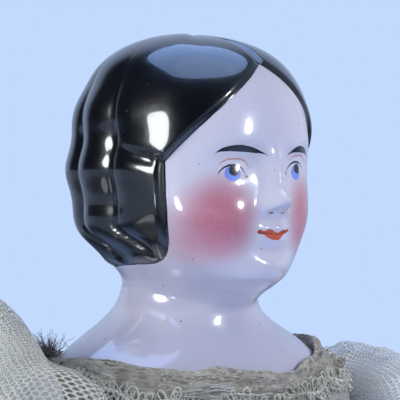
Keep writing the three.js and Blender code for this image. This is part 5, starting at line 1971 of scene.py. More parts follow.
@dataclass
class Bell:
    """A gathered skirt that falls from the waist and stands on its hem."""

    name: str
    out: float
    half_width: float
    half_depth: float
    foot: float
    folds: int
    depth: float
    seed: int
    waist: float = 332.0
    flare: float = 329.0
    power: float = 1.9
    gathers: int = 96
    pleat: float = 0.6
    columns: int = 432
    rows: int = 84
    gauge: float = 0.5
    hem: float = 9.0
    tucks: tuple[float, ...] = ()
    scallop: float = 0.0

    def build(self, finish: Material) -> tuple[Piece, Cloth]:
        """Make the skirt: close gathers at the waist that open into broad folds.

        Args:
            finish: Its material.

        Returns:
            The skirt and its cloth.
        """
        angles = circle(self.columns)
        fall = np.linspace(0, 1, self.rows) ** 1.12
        levels = np.concatenate([[self.waist - 0.3], mix(self.flare, self.foot, fall)])
        share = np.clip((self.flare - levels) / self.flare, 0, 1)
        swell = 1 - (1 - share) ** self.power
        waist = BODY_SECTIONS[3]
        rings = []
        for level, part in zip(levels, swell):
            front = mix(waist[1] + self.out, self.half_depth, part)
            side = mix(waist[2] + self.out, self.half_width, part)
            rings.append(oval(np.array([level, front, side, front, waist[4]]), angles))
        grid = np.array(rings)
        turn, down = angles[None, :], share[:, None]
        phase = turn * self.folds + wander(self.seed, turn * 3) * 1.9 + wander(self.seed + 1, turn * 2, down * 3) * 0.8
        full = self.depth * down**0.7
        folds = full * (0.8 * np.cos(phase) + 0.3 * wander(self.seed + 2, turn * self.folds * 0.5, down * 4))
        small = np.cos(turn * self.gathers + wander(self.seed + 3, turn * 5) * 2)
        gathers = self.pleat * small * np.exp(-down * 7) * smooth(down, -0.02, 0.03)
        soft = wander(self.seed + 4, turn * 11, down * 8) * 0.5 * down**0.5
        soft = soft + wander(self.seed + 5, turn * 53, down * 40) * 0.1
        height = levels[:, None] - self.foot
        ridge = sum(hump(height, tuck, 1.1) for tuck in self.tucks) * 0.9
        groove = -0.35 * hump(height, self.hem, 0.9)
        heft = 0.35 * smooth(height, self.hem + 0.6, self.hem - 0.6)
        grid = grid + away_at(angles) * (folds + gathers + soft + ridge + groove + heft)[..., None]
        if self.scallop:
            lift = self.scallop * np.abs(np.sin(turn * 42)) * smooth(height, self.scallop * 3, 0)
            grid[..., 2] += self.scallop - lift
        cloth = Cloth(grid, Lay.ROUND, turned=True)
        return cloth.sew(self.name, finish, self.gauge), cloth

    def hem_line(self, cloth: Cloth, height: float) -> tuple[Grid, Grid]:
        """A line round the skirt at a height above its foot, and which way the cloth looks there."""
        row = int(np.argmin(np.abs(cloth.grid[:, 0, 2] - self.foot - height)))
        return cloth.grid[row], -slopes(cloth.grid, Lay.ROUND)[2][row]


@dataclass
class Waistband:
    """The crape band that the skirt is gathered into."""

    rise: float = 10.0
    drop: float = 3.0
    waist: float = 332.0
    columns: int = 360

    def build(self, finish: Material) -> tuple[Piece, Cloth]:
        """Make the band, over the bodice above and over the gathers below.

        Args:
            finish: Its material.

        Returns:
            The band and its cloth.
        """
        angles = circle(self.columns)
        waist, ribs = BODY_SECTIONS[3], BODY_SECTIONS[2]
        upper = mix(waist, ribs, self.rise / (ribs[0] - waist[0]))
        profile = (
            (self.rise - 0.3, 2.3), (self.rise + 0.1, 3.4), (self.rise - 1.2, 3.9), (self.rise * 0.5, 5.4),
            (1.5, 6.6), (-1.4, 6.8), (-self.drop, 6.4), (-self.drop + 0.2, 5.3),
        )
        rings = []
        for height, out in profile:
            section = mix(waist, upper, max(height, 0) / self.rise).copy()
            section[0] = self.waist + height
            rings.append(oval(section, angles, out))
        grid = dense(np.array(rings), 30)
        share, turn = chart(30, angles)
        relief = wander(51, turn * 9, share * 9) * 0.22 + wander(52, turn * 67, share * 20) * 0.08
        cloth = Cloth(grid, Lay.ROUND, turned=True).rise(relief)
        return cloth.sew("crape_waistband", finish, 0.45), cloth


@dataclass
class Drawers:
    """White cotton drawers: a fitted top and two separate gathered legs."""

    hip: float = 272.0
    hip_round: float = 14.0
    leg: float = 22.0
    thigh: float = 17.5
    length: float = 96.0

    def top(self, finish: Material) -> tuple[Piece, Cloth]:
        """Make the top over the hips.

        Args:
            finish: Its material.

        Returns:
            The top and its cloth.
        """
        angles = circle(240)
        rings = [oval(np.array([331.6, *BODY_SECTIONS[3][1:]]), angles, 1.0)]
        rings += [oval(section, angles, 1.1) for section in BODY_SECTIONS[4:6]]
        grid = dense(np.array(rings), 26)
        share, turn = chart(26, angles)
        relief = 0.25 * np.cos(turn * 60 + wander(61, turn * 5) * 2) * np.exp(-share * 4)
        relief = relief + wander(62, turn * 9, share * 6) * 0.2
        cloth = Cloth(grid, Lay.ROUND, turned=True).rise(relief)
        return cloth.sew("cotton_drawers_top", finish, 0.35), cloth

    def one_leg(self, side: Side, finish: Material) -> tuple[Piece, Cloth]:
        """Make one leg, with two tucks and a frill at its foot.

        Args:
            side: The doll's left or right.
            finish: Its material.

        Returns:
            The leg and its cloth.
        """
        share, turn = chart(64, circle(180))
        level = self.hip - self.hip_round - share * self.length
        frill = smooth(share, 0.86, 1.0)
        reach = self.thigh + 1.2 + share * 2.0
        folds = 0.45 * np.cos(turn * 13 + wander(71, turn * 2) * 1.4) * smooth(share, 0, 0.5)
        folds = folds + 0.9 * frill * np.cos(turn * 24)
        tucks = sum(hump(share, place, 0.012) for place in (0.7, 0.75, 0.8)) * 0.5
        gather = 0.3 * np.cos(turn * 40) * np.exp(-share * 12) - 0.8 * hump(share, 0.85, 0.02)
        reach = reach + folds + tucks + gather + wander(73, turn * 6, share * 7) * 0.3
        across = side.value * (self.leg + np.sin(turn) * reach)
        grid = np.stack([across, -np.cos(turn) * reach, np.broadcast_to(level, reach.shape)], -1)
        cloth = Cloth(grid, Lay.ROUND, turned=side is Side.LEFT)
        return cloth.sew(f"cotton_drawers_{side.word}", finish, 0.35), cloth


@dataclass
class SleeveBand:
    """The narrow net band that the sleeve is gathered into."""

    radius: float = 11.6
    height: float = 6.0

    def build(self, side: Side, finish: Material) -> tuple[Piece, Cloth]:
        """Make one band round the arm.

        Args:
            side: The doll's left or right.
            finish: Its material.

        Returns:
            The band and its cloth.
        """
        turn = circle(120)[None, :, None]
        profile = dense(np.array([
            [(0.35, 4.8, 0)], [(0.3, 0.8, 0)], [(0.7, 0.1, 0)], [(1.2, 0.5, 0)], [(1.45, self.height / 2, 0)],
            [(1.2, self.height - 0.4, 0)], [(0.75, self.height, 0)], [(0.35, self.height - 0.7, 0)],
        ], float), 30)
        out_by, along = profile[:, :1, :1], profile[:, :1, 1:2]
        reach = self.radius + out_by + 0.14 * np.cos(turn * 38)
        middle = SLEEVE_END + SLEEVE_DOWN * (0.2 + along)
        grid = middle + (SLEEVE_OUT * np.cos(turn) - BEHIND * np.sin(turn)) * reach
        cloth = Cloth(grid * [side.value, 1, 1], Lay.ROUND, turned=side is not Side.LEFT)
        return cloth.sew(f"net_sleeve_band_{side.word}", finish), cloth


# Body and limbs


@dataclass
class Stuffing:
    """Plumps a stuffed piece: it is remeshed, blown up as cloth against a cap, and smoothed."""

    pressure: float = 4.0
    cap: float = 1.6
    frames: int = 20

    def plump(self, piece: Piece, voxel: float) -> None:
        """Plump one piece.

        Args:
            piece: The piece, as a closed mesh a little slimmer than it will be.
            voxel: The size of its new faces in millimetres, before they are divided once more.
        """
        remesh = piece.modifiers.new("even", "REMESH")
        remesh.mode = "VOXEL"
        remesh.voxel_size = voxel * MM
        remesh.use_smooth_shade = True
        harden(piece)
        self.blow(piece)
        finer = piece.modifiers.new("finer", "SUBSURF")
        finer.levels = finer.render_levels = 1
        harden(piece)
        shade_smooth(piece)

    def blow(self, piece: Piece) -> None:
        """Blow the cloth up for a few frames, and keep each point within the cap.

        Args:
            piece: The piece, which is changed.
        """
        scene = bpy.context.scene
        count = len(piece.data.vertices)
        before = np.empty(count * 3)
        piece.data.vertices.foreach_get("co", before)
        cloth = piece.modifiers.new("cloth", "CLOTH")
        cloth.settings.use_pressure = True
        cloth.settings.uniform_pressure_force = self.pressure
        cloth.settings.quality = 4
        cloth.settings.mass = 0.2
        cloth.settings.effector_weights.gravity = 0.0
        cloth.point_cache.frame_start, cloth.point_cache.frame_end = 1, self.frames
        for number in range(1, self.frames + 1):
            scene.frame_set(number)
        harden(piece)
        scene.frame_set(1)
        after = np.empty(count * 3)
        piece.data.vertices.foreach_get("co", after)
        move = (after - before).reshape(-1, 3)
        size = np.linalg.norm(move, axis=1, keepdims=True)
        move *= np.minimum(1.0, self.cap * MM / np.maximum(size, 1e-9))
        piece.data.vertices.foreach_set("co", (before.reshape(-1, 3) + move).ravel())
        piece.data.update()


def swept(
    name: str, stations: Sequence[tuple[Grid, float, float]], flat: Grid, sides: int, steps: int, finish: Material,
) -> Piece:
    """A closed body through stations.

    Args:
        name: Its name.
        stations: For each, its middle, its half width along `flat` and its half thickness.
        flat: The way its width lies.
        sides: Its sides.
        steps: Its rings.
        finish: Its material.

    Returns:
        The body.
    """
    table = np.array([[*middle, wide, thick] for middle, wide, thick in stations], float)
    rows = through(table, np.linspace(0, len(table) - 1, steps))
    run = unit(np.gradient(rows[:, :3], axis=0))
    across = unit(np.cross(run, flat))
    wide = np.cross(across, run)
    turn = circle(sides)[None, :, None]
    grid = rows[:, None, :3] + wide[:, None] * np.cos(turn) * rows[:, None, 3:4]
    grid = grid + across[:, None] * np.sin(turn) * rows[:, None, 4:5]
    return closed_body(name, grid, [rows[0, :3], rows[-1, :3]], finish)


def fuse(name: str, bodies: Sequence[Piece], voxel: float, smoothing: int) -> Piece:
    """Run several closed bodies together into one smooth skin.

    Args:
        name: The new piece's name.
        bodies: The bodies, which are used up.
        voxel: The size of the skin's faces in millimetres.
        smoothing: How many times it is smoothed.

    Returns:
        The one piece.
    """
    points, faces = [], []
    for body in bodies:
        faces += shifted([face.vertices for face in body.data.polygons], len(points))
        points += [tuple(vertex.co / MM) for vertex in body.data.vertices]
    piece = new_piece(name, np.array(points), faces, bodies[0].data.materials[0])
    for body in bodies:
        bpy.data.objects.remove(body)
    remesh = piece.modifiers.new("skin", "REMESH")
    remesh.mode = "VOXEL"
    remesh.voxel_size = voxel * MM
    smooth_out = piece.modifiers.new("ease", "SMOOTH")
    smooth_out.factor = 0.5
    smooth_out.iterations = smoothing
    harden(piece)
    return shade_smooth(piece)


@dataclass(frozen=True)
class MuslinFinish:
    """Unbleached muslin, a little dirty, with painted shade in the pits of its weave, drawn tight over its stuffing.
    """

    colour: Colour = paint(206, 194, 168)
    soiled: Colour = paint(170, 152, 122)
    pitch: float = 0.0007

    def build(self, weave: NodeTree) -> Material:
        """Write the material.

        Args:
            weave: The plain weave group.

        Returns:
            The material.
        """
        material, graph, surface = new_finish("muslin")
        place = graph.place()
        across, depth, up = graph.parts(place)
        along = graph.add("CombineXYZ", {0: graph.plus(across, depth), 1: up, 2: 0.0}).outputs[0]
        threads = graph.add("Group", {"Place": along, "Pitch": self.pitch}, node_tree=weave).outputs
        soil = graph.step(graph.noise(place, 26.0, 4.0, 0.6), 0.45, 0.72)
        colour = graph.blend(graph.times(soil, 0.7), self.colour, self.soiled)
        normal = graph.relief(threads["Height"], 0.00012, 0.8)
        # The dirty patches are real; the pits between the threads take painted shade in the same darker colour
        graph.feed(surface, {
            "Base Color": graph.blend(graph.times(threads["Pits"], 0.35), colour, self.soiled),
            "Normal": graph.relief(graph.noise(place, 120.0, 2.0), 0.0012, 0.6, normal),
            "Roughness": 0.9, "Sheen Weight": 0.3, "Specular IOR Level": MATT_SHINE,
        })
        return material


@dataclass
class Torso:
    """The stuffed muslin body under the shoulder plate."""

    form: HeadForm = field(default_factory=HeadForm)
    inset: float = 7.6
    stub: float = 10.2
    shoulder: float = 414.0
    plane: float = 69.6

    def build(self, finish: Material, stuffing: Stuffing) -> Piece:
        """Make the body, with a short stub at each shoulder for the arm to be sewn to.

        Args:
            finish: Its material.
            stuffing: What plumps it.

        Returns:
            The body.
        """
        angles = circle(96)
        rings = [self.form.bare([row], angles, inset=self.inset)[0] for row in np.linspace(17, 22, 12)]
        rings += [oval(section, angles, -2.2) for section in BODY_SECTIONS]
        rings.append(oval(BODY_SECTIONS[-1], angles, -8.0) + 0.6 * UP)
        grid = dense(np.array(rings), 90)
        bodies = [closed_body("body", grid, [grid[0].mean(0), grid[-1].mean(0)], finish, turned=True)]
        for side in Side:
            places = [np.array([side.value * across, 0.0, self.shoulder]) for across in (42.0, 56.0, self.plane - 1.2)]
            path = [(place, self.stub, self.stub) for place in places]
            bodies.append(swept(f"stub_{side.word}", path, BEHIND, 40, 20, finish))
        torso = fuse("stuffed_torso", bodies, 2.4, 6)
        stuffing.plump(torso, 3.6)
        return torso


@dataclass
class Arm:
    """One arm: a stuffed upper arm, a china forearm tied into it, and the thread that binds them."""

    side: Side
    centre: float = 81.0
    shoulder: float = 414.0
    plane: float = 70.0
    upper: float = 94.0
    fore: float = 78.0
    hand: float = 36.0
    lean: float = 55.0
    palm: float = 8.4
    finger: float = 15.0
    finger_radius: float = 2.3
    flange: float = 3.0
    groove: float = 4.5

    def __post_init__(self) -> None:
        """Work out the arm's line."""
        run = np.array([self.lean, 0.0, -(self.upper + self.fore + self.hand)])
        self.down = unit(run) * [self.side.value, 1, 1]
        self.start = np.array([self.side.value * self.centre, 0.0, self.shoulder - 11.0 / 3])
        self.elbow = self.start + self.down * self.upper
        self.across = np.cross(self.down, BEHIND) * self.side.value

    def at(self, distance: float, aside: float = 0.0, curl: float = 0.0) -> Grid:
        """A place below the elbow."""
        return self.elbow + self.down * distance + BEHIND * aside + self.across * curl

    def cloth(self, finish: Material, stuffing: Stuffing) -> Piece:
        """Make the stuffed upper arm, drawn in where it is tied.

        Args:
            finish: Its material.
            stuffing: What plumps it.

        Returns:
            The upper arm.
        """
        side, start, down, flange = self.side.value, self.start, self.down, self.flange
        sizes = [
            (np.array([side * (self.plane + 0.6), 0, self.shoulder]), 10.2),
            (np.array([side * 73.5, 0, self.shoulder]), 10.4), (start + down * 3.6 - side * ASIDE, 10.3),
            (start + down * 14, 10.2), (start + down * 34, 10.5), (start + down * 58, 10.8), (start + down * 80, 10.4),
            (self.elbow, 10.6), (self.at(flange - 0.4), 10.5), (self.at(flange + 1.4), 8.9),
            (self.at(flange + 3.0), 8.7), (self.at(flange + self.groove), 9.6),
        ]
        stations = [(spot, size, size) for spot, size in sizes]
        body = swept(f"stuffed_arm_{self.side.word}", stations, BEHIND, 44, 96, finish)
        stuffing.plump(body, 2.2)
        return body

    def china_parts(self, finish: Material) -> Piece:
        """Make the china forearm and its hand, with four fingers and a thumb.

        Args:
            finish: Its material.

        Returns:
            The forearm with its hand.
        """
        groove_end, palm = self.flange + self.groove, self.palm
        round_sizes = [
            (0.6, 9.0), (self.flange * 0.5, 9.4), (self.flange - 0.2, 9.1), (self.flange + 0.9, 7.2),
            (groove_end - 0.6, 7.2), (groove_end + 1.0, 9.9), (self.fore * 0.2, 10.3), (self.fore * 0.4, 9.9),
            (self.fore * 0.62, 8.4), (self.fore * 0.84, 6.6),
        ]
        flat_sizes = [
            (self.fore * 0.96, 6.1, 5.2), (self.fore + 2, 6.3, 4.9), (self.fore + self.hand * 0.16, palm * 0.86, 4.2),
            (self.fore + self.hand * 0.34, palm, 4.0), (self.fore + self.hand * 0.5, palm * 0.98, 3.5),
            (self.fore + self.hand * 0.6, palm * 0.86, 2.9),
        ]
        sizes = [(distance, size, size) for distance, size in round_sizes] + flat_sizes
        stations = [(self.at(distance), wide, thick) for distance, wide, thick in sizes]
        bodies = [swept("arm", stations, BEHIND, 48, 120, finish)]
        bodies += [self.one_finger(index, reach, finish) for index, reach in enumerate((0.86, 1.0, 0.96, 0.78))]
        knuckle = self.at(self.fore + self.hand * 0.12, -palm * 0.5)
        way = unit(self.down - BEHIND * 0.45 - self.across * 0.12)
        sizes = ((0.0, 2.6), (5.0, 2.9), (9.0, 2.4), (12.5, 2.3), (15.5, 1.8), (17.0, 0.8))
        thumb = [(knuckle + way * distance, size, size) for distance, size in sizes]
        bodies.append(swept("thumb", thumb, np.cross(way, self.across), 20, 36, finish))
        return fuse(f"china_forearm_{self.side.word}", bodies, 0.62, 5)

    def one_finger(self, index: int, reach: float, finish: Material) -> Piece:
        """Make one finger, a little curled.

        Args:
            index: Its place from the thumb's side, from 0 to 3.
            reach: Its length as a share of the longest.
            finish: Its material.

        Returns:
            The finger.
        """
        root = self.fore + self.hand - self.finger - self.finger_radius
        aside = (index - 1.5) / 2 * self.palm * 1.02
        tip = root + self.finger * reach
        thick = self.finger_radius * (0.92 if index == 3 else 1.0)
        places = (
            (root - 7, 0.0, 1.0), (root, 0.1, 1.0), (root + self.finger * 0.42, 0.3, 0.94),
            (root + self.finger * 0.5, 0.42, 0.98), (tip - 1.5, 0.9, 0.84), (tip + 0.8, 1.25, 0.66),
            (tip + 2.0, 1.4, 0.3),
        )
        stations = []
        for distance, curl, size in places:
            spread = 1 + 0.06 * (distance - root) / self.finger
            stations.append((self.at(distance, aside * spread, -curl), thick * size, thick * size))
        return swept("finger", stations, BEHIND, 20, 36, finish)

    def tie(self, finish: Material) -> Piece:
        """Wind the thread round the groove, and knot it."""
        middle = self.at(self.flange + self.groove / 2 + 0.4)
        return winding(f"thread_arm_{self.side.word}", middle, self.down, 9.35, finish)


THREAD = 0.34


def winding(name: str, middle: Grid, way: Grid, radius: float, finish: Material) -> Piece:
    """Five turns of waxed thread with a knot and two short ends.

    Args:
        name: The thread's name.
        middle: The middle of the turns.
        way: The limb's direction.
        radius: How far the thread's middle lies from the limb's.
        finish: Its material.

    Returns:
        The thread.
    """
    aside = unit(np.cross(way, BEHIND))
    front = unit(np.cross(aside, way))
    if front[1] > 0:
        front = -front
    turn = np.linspace(0, FULL_TURN * 5, 300)[:, None]
    drift = (turn / turn[-1] - 0.5) * 2.1 + 0.12 * np.sin(turn * 0.7)
    round_it = (front * np.cos(turn) + aside * np.sin(turn)) * (radius + 0.1 * np.sin(turn * 2.3))
    knot = circle(60)
    curl = np.stack([np.sin(knot) + 2 * np.sin(2 * knot), np.cos(knot) - 2 * np.cos(2 * knot), -np.sin(3 * knot)], -1)
    centre = middle + front * (radius + 0.75)
    runs = [
        tube(middle + way * drift + round_it, THREAD, 6, False),
        tube(centre + curl * 0.36 @ np.array([aside, way, front]), THREAD, 6, True),
    ]
    for lean in (-1.0, 0.7):
        share = np.linspace(0, 1, 14)[:, None]
        end = centre + aside * lean * 3.4 * share + way * (2.4 * share**1.4) + front * (0.5 * np.sin(share * 3))
        runs.append(tube(end, 0.3 - 0.1 * share[:, 0], 6, False))
    points, faces = [], []
    for more, others in runs:
        faces += shifted(others, len(points))
        points += list(more)
    return new_piece(name, np.array(points), faces, finish)


@dataclass
class Leg:
    """One leg: stuffed thigh and knee, a china lower leg with a painted boot, and the thread that binds them."""

    side: Side
    centre: float = 22.0
    hip: float = 272.0
    knee: float = 150.0
    hip_round: float = 14.0
    knee_round: float = 11.0
    thigh_radius: float = 17.5
    knee_radius: float = 13.0
    knee_cloth: float = 24.0
    flange: float = 3.0
    groove: float = 4.5
    sole: float = 2.0
    boot_length: float = 44.0

    def spot(self, level: float, back: float = 0.0) -> Grid:
        """A place on the leg's line."""
        return np.array([self.side.value * self.centre, back, level])

    def along(self, line: Sequence[Spot]) -> list[tuple[Grid, float, float]]:
        """Stations down the leg from levels, half widths and half thicknesses."""
        return [(self.spot(level), wide, thick) for level, wide, thick in line]

    def round_seam(self, level: float, radius: float, half: float, finish: Material) -> Piece:
        """A round end across the leg, so that the limb can turn in its seam.

        Args:
            level: The height of its middle.
            radius: Its radius.
            half: Half its width across the leg.
            finish: Its material.

        Returns:
            The end, as a closed body.
        """
        shares = ((-1, 0.8), (-0.93, 0.97), (0, 1.0), (0.93, 0.97), (1, 0.8))
        ends = [(self.spot(level) + half * place * ASIDE, radius * size, radius * size) for place, size in shares]
        return swept("seam", ends, BEHIND, 36, 20, finish)

    def thigh(self, finish: Material, stuffing: Stuffing) -> Piece:
        """Make the stuffed thigh.

        Args:
            finish: Its material.
            stuffing: What plumps it.

        Returns:
            The thigh.
        """
        hip, top = self.hip, self.knee + self.knee_round + 0.4
        line = (
            (hip, 15.4, 12.6), (hip - 7, 16.4, 15.2), (hip - 22, 16.6, 16.6), (mix(self.knee, hip, 0.5), 14.9, 14.9),
            (top + self.knee_round, 12.2, 12.2), (top + 4, 12.0, 11.6), (top - 0.4, 11.8, 10.6),
        )
        body = swept("thigh", self.along(line), ASIDE, 44, 90, finish)
        seam = self.round_seam(hip, self.hip_round - 0.2, self.thigh_radius * 0.88, finish)
        thigh = fuse(f"stuffed_thigh_{self.side.word}", [body, seam], 1.8, 4)
        stuffing.plump(thigh, 3.0)
        return thigh

    def knee_part(self, finish: Material, stuffing: Stuffing) -> Piece:
        """Make the stuffed knee, drawn in where it is tied to the china.

        Args:
            finish: Its material.
            stuffing: What plumps it.

        Returns:
            The knee.
        """
        knee, top = self.knee, self.knee - self.knee_cloth
        flange = top - self.flange
        line = (
            (knee, 11.6, 10.0), (knee - 9, 12.2, 12.2), (knee - 17, 12.4, 12.4), (top, 12.4, 12.4),
            (flange + 0.3, 12.3, 12.3), (flange - 1.4, 10.8, 10.8), (flange - 3.0, 10.6, 10.6),
            (flange - self.groove, 11.4, 11.4),
        )
        body = swept("knee", self.along(line), ASIDE, 44, 60, finish)
        seam = self.round_seam(knee, self.knee_round + 0.1, self.knee_radius * 0.88, finish)
        stuffed = fuse(f"stuffed_knee_{self.side.word}", [body, seam], 1.5, 3)
        stuffing.plump(stuffed, 2.4)
        return stuffed

    def china_part(self, finish: Material) -> Piece:
        """Make the china lower leg with its heeled boot.

        Args:
            finish: Its material.

        Returns:
            The lower leg with its boot.
        """
        top, sole = self.knee - self.knee_cloth, self.sole
        length = top - sole
        line = (
            (top - 0.6, 0.0, 11.0), (top - 1.5, 0.0, 11.4), (top - 2.8, 0.0, 11.1), (top - 3.9, 0.0, 9.1),
            (top - 6.9, 0.0, 9.1), (top - 8.5, 0.0, 11.9), (top - length * 0.2, 1.0, 13.2),
            (top - length * 0.34, 2.4, 13.5), (top - length * 0.5, 3.4, 11.9), (top - length * 0.66, 4.0, 9.4),
            (top - length * 0.78, 4.0, 8.2), (top - length * 0.88, 4.2, 8.2), (sole + 9.0, 4.0, 8.4),
        )
        leg = [(self.spot(level, back), size, size * 1.04) for level, back, size in line]
        back_of_heel = 4.0 + 8.0 * 1.2
        line = (
            (0.02, 4.6, 5.2, 8.2), (0.1, 6.6, 7.6, 9.2), (0.28, 7.2, 8.2, 9.6), (0.45, 7.4, 6.2, 7.4),
            (0.62, 7.9, 4.8, 5.9), (0.78, 8.2, 3.9, 4.9), (0.9, 7.0, 3.1, 4.2), (0.985, 3.8, 1.8, 3.4),
        )
        boot = [
            (self.spot(sole + middle, back_of_heel - share * self.boot_length), wide, tall)
            for share, wide, tall, middle in line
        ]
        line = ((0.3, 0.0, 4.8), (1.6, 0.0, 4.6), (3.4, -0.3, 5.2), (6.0, -0.8, 6.2))
        heel = [(self.spot(sole + up, back_of_heel - 5.6 + lean), size, size) for up, lean, size in line]
        bodies = [
            swept("leg", leg, ASIDE, 48, 120, finish), swept("boot", boot, ASIDE, 40, 80, finish),
            swept("heel", heel, ASIDE, 32, 20, finish),
        ]
        return fuse(f"china_lower_leg_{self.side.word}", bodies, 0.75, 5)

    def tie(self, finish: Material) -> Piece:
        """Wind the thread round the groove, and knot it."""
        middle = self.spot(self.knee - self.knee_cloth - 5.4)
        return winding(f"thread_leg_{self.side.word}", middle, -UP, 11.3, finish)


# The whole doll


@dataclass
class Kit:
    """The finishes and tools that the whole doll is made with."""

    china: ChinaGlaze = field(default_factory=ChinaGlaze)

    def __post_init__(self) -> None:
        """Write each material and group once."""
        self.repeat = Repeat()
        weave = weave_group()
        # Each woven cloth gets its own colour, a lighter one for fading and for painted highlight on the crape's
        # crinkle, and a darker one for stains and for painted shade in pits and troughs
        dark, light, worn = paint(184, 175, 158), paint(222, 214, 196), paint(120, 110, 96)
        self.crape = WovenFinish("crinkled_crape", dark, light, worn, 0.00042, 0.0001, 0.0007, 760.0).build(weave)
        dark, light, worn = paint(166, 159, 144), paint(188, 181, 165), paint(118, 110, 97)
        self.silk = WovenFinish("faded_crape", dark, light, worn, 0.0005, 0.0001, 0.0003, 460.0, 0.5).build(weave)
        white, aged, worn = paint(222, 217, 204), paint(208, 201, 184), paint(176, 164, 142)
        self.cotton = WovenFinish("white_cotton", white, aged, worn, stained=0.25).build(weave)
        white, aged, worn = paint(250, 248, 240), paint(252, 250, 244), paint(226, 220, 204)
        self.gauze = WovenFinish("lining_gauze", white, aged, worn).build(weave)
        self.muslin = MuslinFinish().build(weave)
        self.net = NetFinish().build(net_group())
        self.button = ButtonFinish().build()
        self.braid = ThreadFinish("braid_cotton", paint(226, 220, 202), paint(164, 156, 134)).build()
        self.selvedge = ThreadFinish("selvedge_silk", paint(214, 208, 198), paint(120, 114, 106), 0.9).build()
        self.fray = ThreadFinish("frayed_crape", paint(92, 88, 84), paint(58, 54, 52)).build()
        self.thread = ThreadFinish("linen_thread", paint(196, 184, 156), paint(140, 126, 100)).build()
        self.dark_thread = ThreadFinish("sewing_thread", paint(116, 110, 100), paint(80, 76, 70)).build()


def build_china(kit: Kit) -> None:
    """Make the head and the china limbs.

    Args:
        kit: The finishes.
    """
    settle(ShoulderHead().build(kit.china.painted_head()), "doll", "china", "shoulder_head")
    limb, booted = kit.china.plain(), kit.china.booted()
    for side in Side:
        word = side.word
        settle(Arm(side).china_parts(limb), f"arm_{word}", "china", f"forearm_{word}")
        settle(Leg(side).china_part(booted), f"shin_{word}", "china", f"lower_leg_{word}")


def build_body(kit: Kit) -> None:
    """Make the stuffed body, and sew the china to it.

    Args:
        kit: The finishes.
    """
    stuffing = Stuffing()
    torso = settle(Torso().build(kit.muslin, stuffing), "doll", "muslin", "torso")
    for side in Side:
        word = side.word
        arm, leg = Arm(side), Leg(side)
        for piece, body, node in (
            (arm.cloth(kit.muslin, stuffing), f"arm_{word}", f"upper_arm_{word}"),
            (leg.thigh(kit.muslin, stuffing), f"thigh_{word}", f"thigh_{word}"),
            (leg.knee_part(kit.muslin, stuffing), f"shin_{word}", f"knee_{word}"),
        ):
            settle(piece, body, "muslin", node)
        settle(arm.tie(kit.thread), f"arm_{word}", "thread", f"arm_tie_{word}")
        settle(leg.tie(kit.thread), f"shin_{word}", "thread", f"leg_tie_{word}")
        for place in Place:
            settle(sew_tie(side, place, kit.thread), "doll", "thread", f"sew_tie_{place.value}_{word}")


def sew_tie(side: Side, place: Place, finish: Material) -> Piece:
    """Loop three turns of thread through a hole in the plate and round its edge.

    Args:
        side: The doll's left or right.
        place: Whether the hole is in front or at the back.
        finish: The thread's material.

    Returns:
        The thread.
    """
    form, across, rise, gauge, turns = HeadForm(), ShoulderHead.hole_across, ShoulderHead.hole_rise, 0.36, 3
    front, beside, back = (through(rail, [21.5])[0] for rail in form.rails())
    square = float(through(SQUARENESS[:, None], [21.5])[0, 0])
    reach, way = (front[0], -1) if place is Place.FRONT else (back[0], 1)
    wall = reach * (1 - (across / beside[0]) ** square) ** (1 / square) - form.wall / 2
    level = form.neck_level - form.plate_front_drop
    top = level + rise
    foot = level + (form.plate_front_drop - form.plate_side_drop) * (across / form.plate_half_width) ** 2 - 1.3
    turn = np.linspace(0, FULL_TURN * turns, 50 * turns)
    out_by, up_by = (np.sign(wave) * np.abs(wave) ** 0.5 for wave in (np.cos(turn), np.sin(turn)))
    out = wall + out_by * (form.wall / 2 + gauge + 1.5)
    up = (top + foot) / 2 + up_by * (top - foot) / 2
    aside = side.value * across + (turn / turn[-1] - 0.5) * 1.5
    path = np.stack([aside, way * out, up], -1)
    return new_piece(f"thread_sew_{place.value}_{side.word}", *tube(path, gauge, 6, False), finish)


def hang(
    made: tuple[Piece, Cloth], body: str, slot: str, node: str,
) -> Cloth:
    """Put a sheet of cloth on its body, and give back its cloth.

    Args:
        made: The piece and its cloth.
        body: The body that it moves with.
        slot: Passed on to settle, which does not use it.
        node: The solid that it is seen in place of.

    Returns:
        The cloth.
    """
    piece, cloth = made
    settle(piece, body, slot, node)
    return cloth


